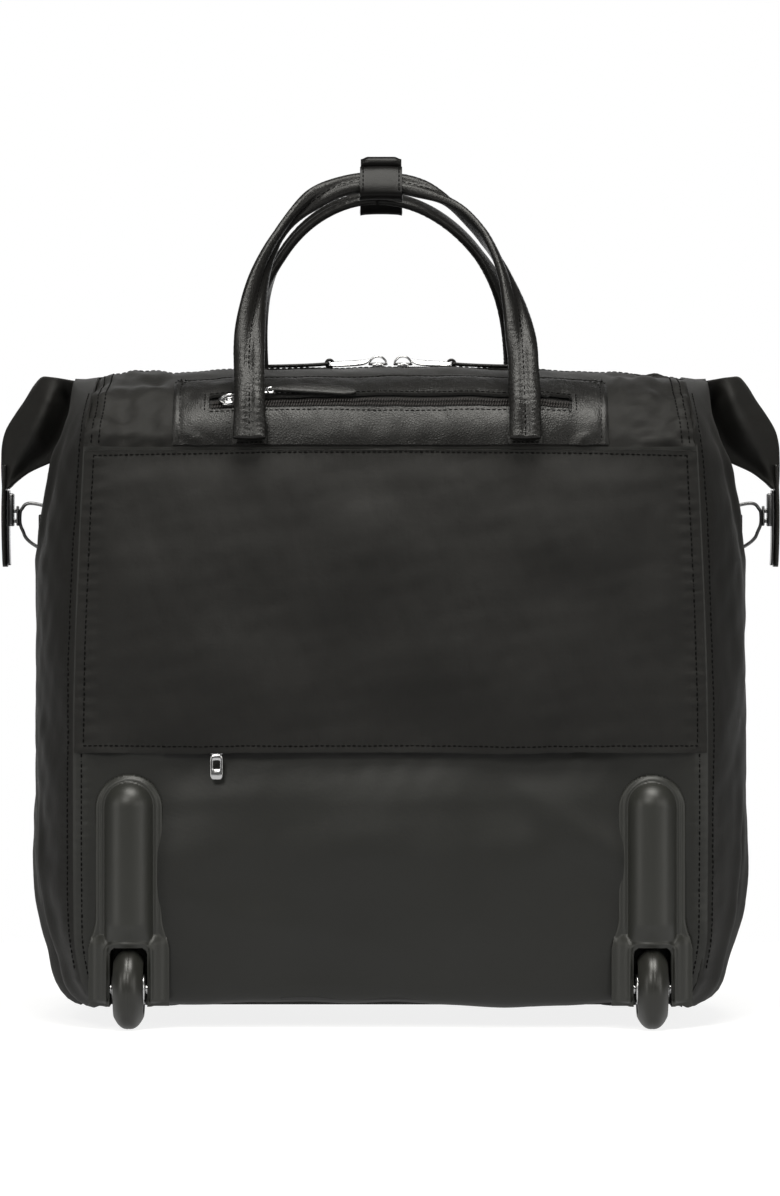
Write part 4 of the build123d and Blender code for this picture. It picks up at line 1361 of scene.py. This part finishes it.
def main_zip_side(way, label):
    """One side's tape, coil and stitches. The coils' teeth lie across each other."""
    xs = np.linspace(-ZIP_REACH, ZIP_REACH, 260)
    points = []
    for y in np.linspace(9.0, 1.3, 7):
        z = zip_height(xs) - 1.0 + 0.4 * (9.0 - y) / 7.7
        points.append(np.stack([xs, np.full(xs.shape, way * y), z], 1))
    front, rear = way > 0, way < 0
    node = "main_zip" if rear else None
    sheet(f"main_zip_tape_{label}", np.array(points), TAPE, 0.7, "zip", node, 0.0)
    xs = np.arange(-ZIP_REACH + 3, ZIP_REACH - 3, 1.25)
    y = np.full(xs.shape, 0.5 if front else -1.9)
    centres = np.stack([xs + 0.35 * way, y, zip_height(xs) - 0.85 + 0.55 * front], 1)
    along = np.tile([0.12, 0.6, 0.75 * rear], (len(xs), 1))
    outward = np.tile([0.0, -0.7 * rear, 0.7], (len(xs), 1))
    beads(f"main_zip_coil_{label}", centres, along, outward, 3.0, 0.85, 1.1, COIL, "case")
    line, out = on_wall(way, np.linspace(-ZIP_REACH, ZIP_REACH, 400), roof_t(9.5))
    stitch_row(f"main_zip_stitches_{label}", line, out, "case", pitch=3.8, length=2.8, width=0.85, lift=0.2)


for way, label in REAR_FRONT:
    main_zip_side(way, label)


def place_matrix(origin, x_axis, z_axis):
    """Rotation and place of a part drawn with the chain along x and outward along z."""
    x = np.asarray(x_axis, float)
    x /= np.linalg.norm(x)
    z = np.asarray(z_axis, float)
    z -= x * (z @ x)
    z /= np.linalg.norm(z)
    return np.stack([x, np.cross(z, x), z], 1), np.asarray(origin, float)


def placed(points, at):
    """Points drawn about the origin, moved to their place."""
    rotation, origin = at
    return np.asarray(points, float) @ rotation.T + origin


def grown(outline, grow, z):
    """An outline made larger all round by grow, at height z."""
    centre = outline.mean(0)
    out = outline - centre
    out = out * (1 + grow / np.linalg.norm(out, axis=1, keepdims=True))
    return np.c_[centre + out, np.full(len(out), z)]


def slab(name, outline, z0, z1, at, finish, body, soft):
    """A flat plate with a rounded rim, from an (x, y) outline."""
    levels = ((-soft, z0), (0, z0 + soft), (0, z1 - soft), (-soft, z1))
    points = np.array([grown(outline, grow, z) for grow, z in levels])
    return tube(name, placed(points, at), finish, body)


def rounded_outline(length, width, start, power):
    """A rounded rectangle from start to start + length along x."""
    return oval(length, width, 44, power) + [start + length / 2, 0]


def draw_slider(name, at, body, along_chain=True, arch_top=5.1, reach=4.4, cheek_low=-1.4):
    """A zip slider: waisted plate, cheeks and a bridge loop. Its body and CAD node have one name."""
    a = np.linspace(0, 2 * np.pi, 44, endpoint=False)
    waist = (1 - 0.22 * np.cos(a) ** 2) * (1 + 0.12 * np.cos(a))
    outline = np.stack([6.2 * np.cos(a), 4.5 * np.sin(a) * waist], 1)
    top = slab(f"{name}_plate", outline, 0.5, 2.1, at, SILVER, body, 0.5)
    settle(top, None, body)
    for way in (-1, 1):
        side = oval(7.4, 1.0, 20, 3) + [0, way * 4.0]
        cheek = slab(f"{name}_cheek_{mark(way, 'ba')}", side, cheek_low, 1.2, at, SILVER, body, 0.25)
        settle(cheek, None)
    arch = [(-1, 0.2), (-0.95, 0.53), (-0.55, 0.88), (0, 1), (0.55, 0.88), (0.95, 0.53), (1, 0.2)]
    arch = [(x * reach, 0, z * arch_top) for x, z in arch]
    if not along_chain:
        arch = [(y, x, z) for x, y, z in arch]
    loop = wire(f"{name}_bridge", placed(smooth_path(arch, 6), at), 0.7, SILVER, body, up=(0.01, 1, 0.013))
    settle(loop, None)


MAIN_BAR = [(5.4, 0, 3.9), (7, -0.2, 3.1), (10, -0.6, 2.3), (16, -1.0, 1.7), (24, -1.0, 1.3),
            (30.5, -0.8, 1.2)]
MAIN_STRAP = [(31.0, 0, 1.7), (34, 0, 1.3), (41, 0, 0.8), (50, 0, 0.4), (60, 0, 0.1), (70.2, 0, -0.1)]


def main_pull(side, label):
    """A slim arched bar that ends in a loop, with a leather tab threaded through."""
    body = f"{label}_main_pull"
    low, high = node_mm(f"{label}_main_slider")
    middle = (low + high) / 2
    at = place_matrix([middle[0], 0, CHAIN_TOP], [side, 0, 0], [0, 0, 1])
    draw_slider(f"{label}_main_slider", at, f"{label}_main_slider", True, 6.2, 5.2)
    up = tuple(at[0][:, 2])
    bar_path = smooth_path(MAIN_BAR, 8)
    bar_path[:, 1] *= side

    def blade(i, n):
        share = i / (n - 1)
        end = math.sqrt(min(1.0, (n - i) / 4))
        return oval((1.9 + 2.3 * smooth(0, 0.55, share)) * end, 1.5, 20, 3.0)

    bar = sweep(f"{label}_main_pull_bar", placed(bar_path, at), up, blade, SILVER, body,
                twist=np.full(len(bar_path), side * 1.0))
    settle(bar, None, body)
    turn = np.linspace(0, 2 * np.pi, 24, endpoint=False)
    ring_path = np.stack([31.0 + 2.3 * np.cos(turn), 0.4 * np.sin(turn), 1.7 + 2.3 * np.sin(turn)], 1)
    wire(f"{label}_main_pull_loop", placed(ring_path, at), 0.95, LEATHER, body,
         up=(0.02, 1, 0.03), closed=True)
    strap_outline = oval(8.6, 2.2, 24, 3.4)

    def strap_section(i, n):
        return strap_outline * [0.5 + 0.5 * math.sqrt(min(1.0, (i + 1) / 7, (n - i) / 5)), 1]

    tab = sweep(f"{label}_main_tab_strap", placed(smooth_path(MAIN_STRAP, 10), at), up,
                strap_section, LEATHER, body)
    settle(tab, None, f"{label}_main_tab")


for side, label in RIGHT_LEFT:
    main_pull(side, label)

# ---- trolley slot's slider, pull and tab
SLOPE = math.acos(84 / HALF_DEPTH)
slot_z = SHOULDER + ROOF_RISE * math.sin(SLOPE)
tilt = math.atan2(ROOF_RISE * math.cos(SLOPE), HALF_DEPTH * math.sin(SLOPE))
normal = np.array([0, -math.sin(tilt), math.cos(tilt)])
slot_at = place_matrix([-101.0, -84.0, slot_z - 0.5], [1, 0, 0], normal)
TROLLEY_BAR = [(2.8, 0.4, 3.7), (8, 1.6, 3.8), (14, 3.0, 3.9), (20, 4.4, 4.1), (25.5, 5.4, 4.3)]
TROLLEY_STRAP = [(26.4, 5.6, 4.6), (32, 6.4, 5.0), (44, 6.6, 5.2), (58, 6.4, 4.6), (70, 6.0, 3.9),
                 (79.5, 5.6, 3.4)]
BAR_OUTLINE, TAB_OUTLINE = oval(4.4, 1.3, 20, 3.0), oval(8.4, 2.6, 24, 3.4)


def tapered_tab(i, n):
    """The tab's section: narrow at the loop, rounded at its end."""
    return TAB_OUTLINE * [(0.35 + 0.65 * smooth(0, 0.5, i / n)) * math.sqrt(min(1.0, (n - i) / 9)), 1]


def trolley_loop(name, x, y, z, half_x, half_y, count, radius):
    """A flat wire loop of the slot's pull."""
    path = [(x + half_x * math.cos(t), y + half_y * math.sin(t), z)
            for t in np.linspace(0, 2 * np.pi, count, endpoint=False)]
    wire(name, placed(path, slot_at), radius, SILVER, "trolley_zip_pull", up=slot_up, closed=True)


draw_slider("trolley_zip_slider", slot_at, "trolley_zip_slider")
slot_up = tuple(slot_at[0][:, 2])
trolley_loop("trolley_pull_eye", 1.0, 0.0, 4.0, 2.3, 2.2, 20, 0.62)
bar = sweep("trolley_pull_bar", placed(smooth_path(TROLLEY_BAR, 8), slot_at), slot_up,
            lambda i, n: BAR_OUTLINE, SILVER, "trolley_zip_pull")
settle(bar, None, "trolley_zip_pull")
trolley_loop("trolley_pull_loop", 26.2, 5.4, 4.6, 2.0, 2.6, 24, 0.85)
tab = sweep("trolley_tab_strap", placed(smooth_path(TROLLEY_STRAP, 10), slot_at), slot_up, tapered_tab,
            LEATHER, "trolley_zip_pull")
settle(tab, None, "trolley_zip_tab")
squash_to(tab, placed([0, 22.0, 2.0], slot_at))

# ---- rear pocket's lower zip
zip_low, zip_high = node_mm("rear_pocket_zip")
zip_z = zip_high[2] - 0.2
xs = np.linspace(zip_low[0], zip_high[0], 150)
points = []
for z in np.linspace(zip_z - 5, zip_z + 5, 6):
    p, n = on_wall(-1, xs, z)
    points.append(p + n * 0.4)
sheet("pocket_zip_tape", np.array(points), TAPE, 0.7, "zip", "rear_pocket_zip")
xs = np.arange(zip_low[0] + 2, zip_high[0] - 2, 1.4)
p, n = on_wall(-1, xs, zip_z)
beads("pocket_zip_coil", p + n * 1.7, np.tile([0.1, 0, 1.0], (len(xs), 1)), n, 3.6, 0.85, 1.0, COIL, "case")
PULL_X = -107.6
slider_at = place_matrix([PULL_X, -101.2, zip_z + 1.7], [1, 0, 0], [0, -1, 0])
draw_slider("pocket_slider", slider_at, "rear_pocket_slider", False, 2.9, 2.4, -0.2)


def pocket_pull():
    """A flat plate with a square window, hanging from its slider."""
    outer = rounded_outline(15.6, 7.7, -0.3, 5.0)
    hole = rounded_outline(5.4, 4.4, 3.4, 6.0)
    levels = ((outer, -0.3, 3.3), (outer, 0, 3.6), (outer, 0, 4.5), (outer, -0.3, 4.8),
              (hole, 0.3, 4.8), (hole, 0, 4.5), (hole, 0, 3.6), (hole, 0.3, 3.3))
    points = np.array([grown(*level) for level in levels])
    hang = (np.array([[0, 1, 0], [0, 0, -1], [-1.0, 0, 0]]), np.array([PULL_X, -103.2, 170.0]))
    obj = grid("pocket_pull_plate", placed(points, hang), SILVER, "rear_pocket_pull", True, True)
    settle(obj, None, "rear_pocket_pull")


pocket_pull()

# ---- inside: the laptop divider
low, high = node_mm("laptop_divider")
cushion = rounded_box("divider_pad", low + [0.5, 0.5, 0], high - [0.5, 0.5, 0], 2.6, PADDING, "case", 4)
settle(cushion, None, "laptop_divider")

# ---- floor, light and camera
ROOM_LIGHT = 0.07
FLOOR_SEEN, FLOOR_LIGHT = 0.84, 0.45
FLOOR_SIZE = (1.7, 1.6, 1)
LAMP_COLOUR = (1.0, 0.985, 0.93)
bpy.ops.mesh.primitive_plane_add(size=1, location=(0, -0.15, 0))
ground = bpy.context.object
ground.name = "floor"
ground.scale = FLOOR_SIZE
ground.data.materials.append(FLOOR)


def seen_and_unseen(tree, seen, unseen):
    """A strength that is one value to the camera and another as a source of light."""
    pick = tree.nodes.new("ShaderNodeMapRange")
    pick.inputs["To Min"].default_value = unseen
    pick.inputs["To Max"].default_value = seen
    tree.links.new(tree.nodes.new("ShaderNodeLightPath").outputs["Is Camera Ray"], pick.inputs["Value"])
    return pick.outputs["Result"]


floor_tree = FLOOR.node_tree
floor_glow = floor_tree.nodes["Principled BSDF"].inputs["Emission Strength"]
floor_tree.links.new(seen_and_unseen(floor_tree, FLOOR_SEEN, FLOOR_LIGHT), floor_glow)
world = bpy.data.worlds.new("studio")
bpy.context.scene.world = world
world.use_nodes = True
backdrop = world.node_tree.nodes["Background"]
backdrop.inputs["Color"].default_value = (1, 1, 1, 1)
world.node_tree.links.new(seen_and_unseen(world.node_tree, 1.0, ROOM_LIGHT), backdrop.inputs["Strength"])


def area_light(name, place, aim, size, watts, size_y=None):
    """A soft light at a place, turned to its aim."""
    light = bpy.data.lights.new(name, "AREA")
    light.energy = watts
    light.color = LAMP_COLOUR
    light.size = size
    if size_y:
        light.shape = "RECTANGLE"
        light.size_y = size_y
    obj = bpy.data.objects.new(name, light)
    bpy.context.scene.collection.objects.link(obj)
    obj.location = place
    obj.rotation_euler = (Vector(aim) - Vector(place)).to_track_quat("-Z", "Y").to_euler()
    return obj


area_light("key", (-0.7, -2.1, 1.7), (0, 0, 0.3), 0.9, 22)
area_light("fill", (1.3, -2.0, 0.9), (0, 0, 0.25), 0.8, 5)
area_light("top", (0.1, -0.6, 2.1), (0, 0, 0.3), 1.1, 40)
for way in (-1, 1):
    area_light(f"side_{way + 1}", (1.7 * way, -1.0, 0.5), (0.2 * way, 0, 0.2), 0.7, 6.5, 1.2)
wall = area_light("wall", (0, 2.4, 0.9), (0, 0, 0.4), 2.8, 18, 1.9)
wall.data.color = (1, 1, 1)
wall.visible_camera = False

CAMERA_BACK, CAMERA_UP, LENS = 3.1, 0.267, 145.66
lens = bpy.data.cameras.new("camera")
lens.sensor_fit = "AUTO"
lens.sensor_width = 36
lens.lens = LENS
lens.clip_start, lens.clip_end = 0.05, 60
camera = bpy.data.objects.new("camera", lens)
bpy.context.scene.collection.objects.link(camera)
camera.location = (-0.0003, -CAMERA_BACK + MID_Y / 1000, CAMERA_UP)
camera.rotation_euler = (math.pi / 2, 0, 0)
bpy.context.scene.camera = camera
bpy.context.scene.view_settings.view_transform = "Standard"
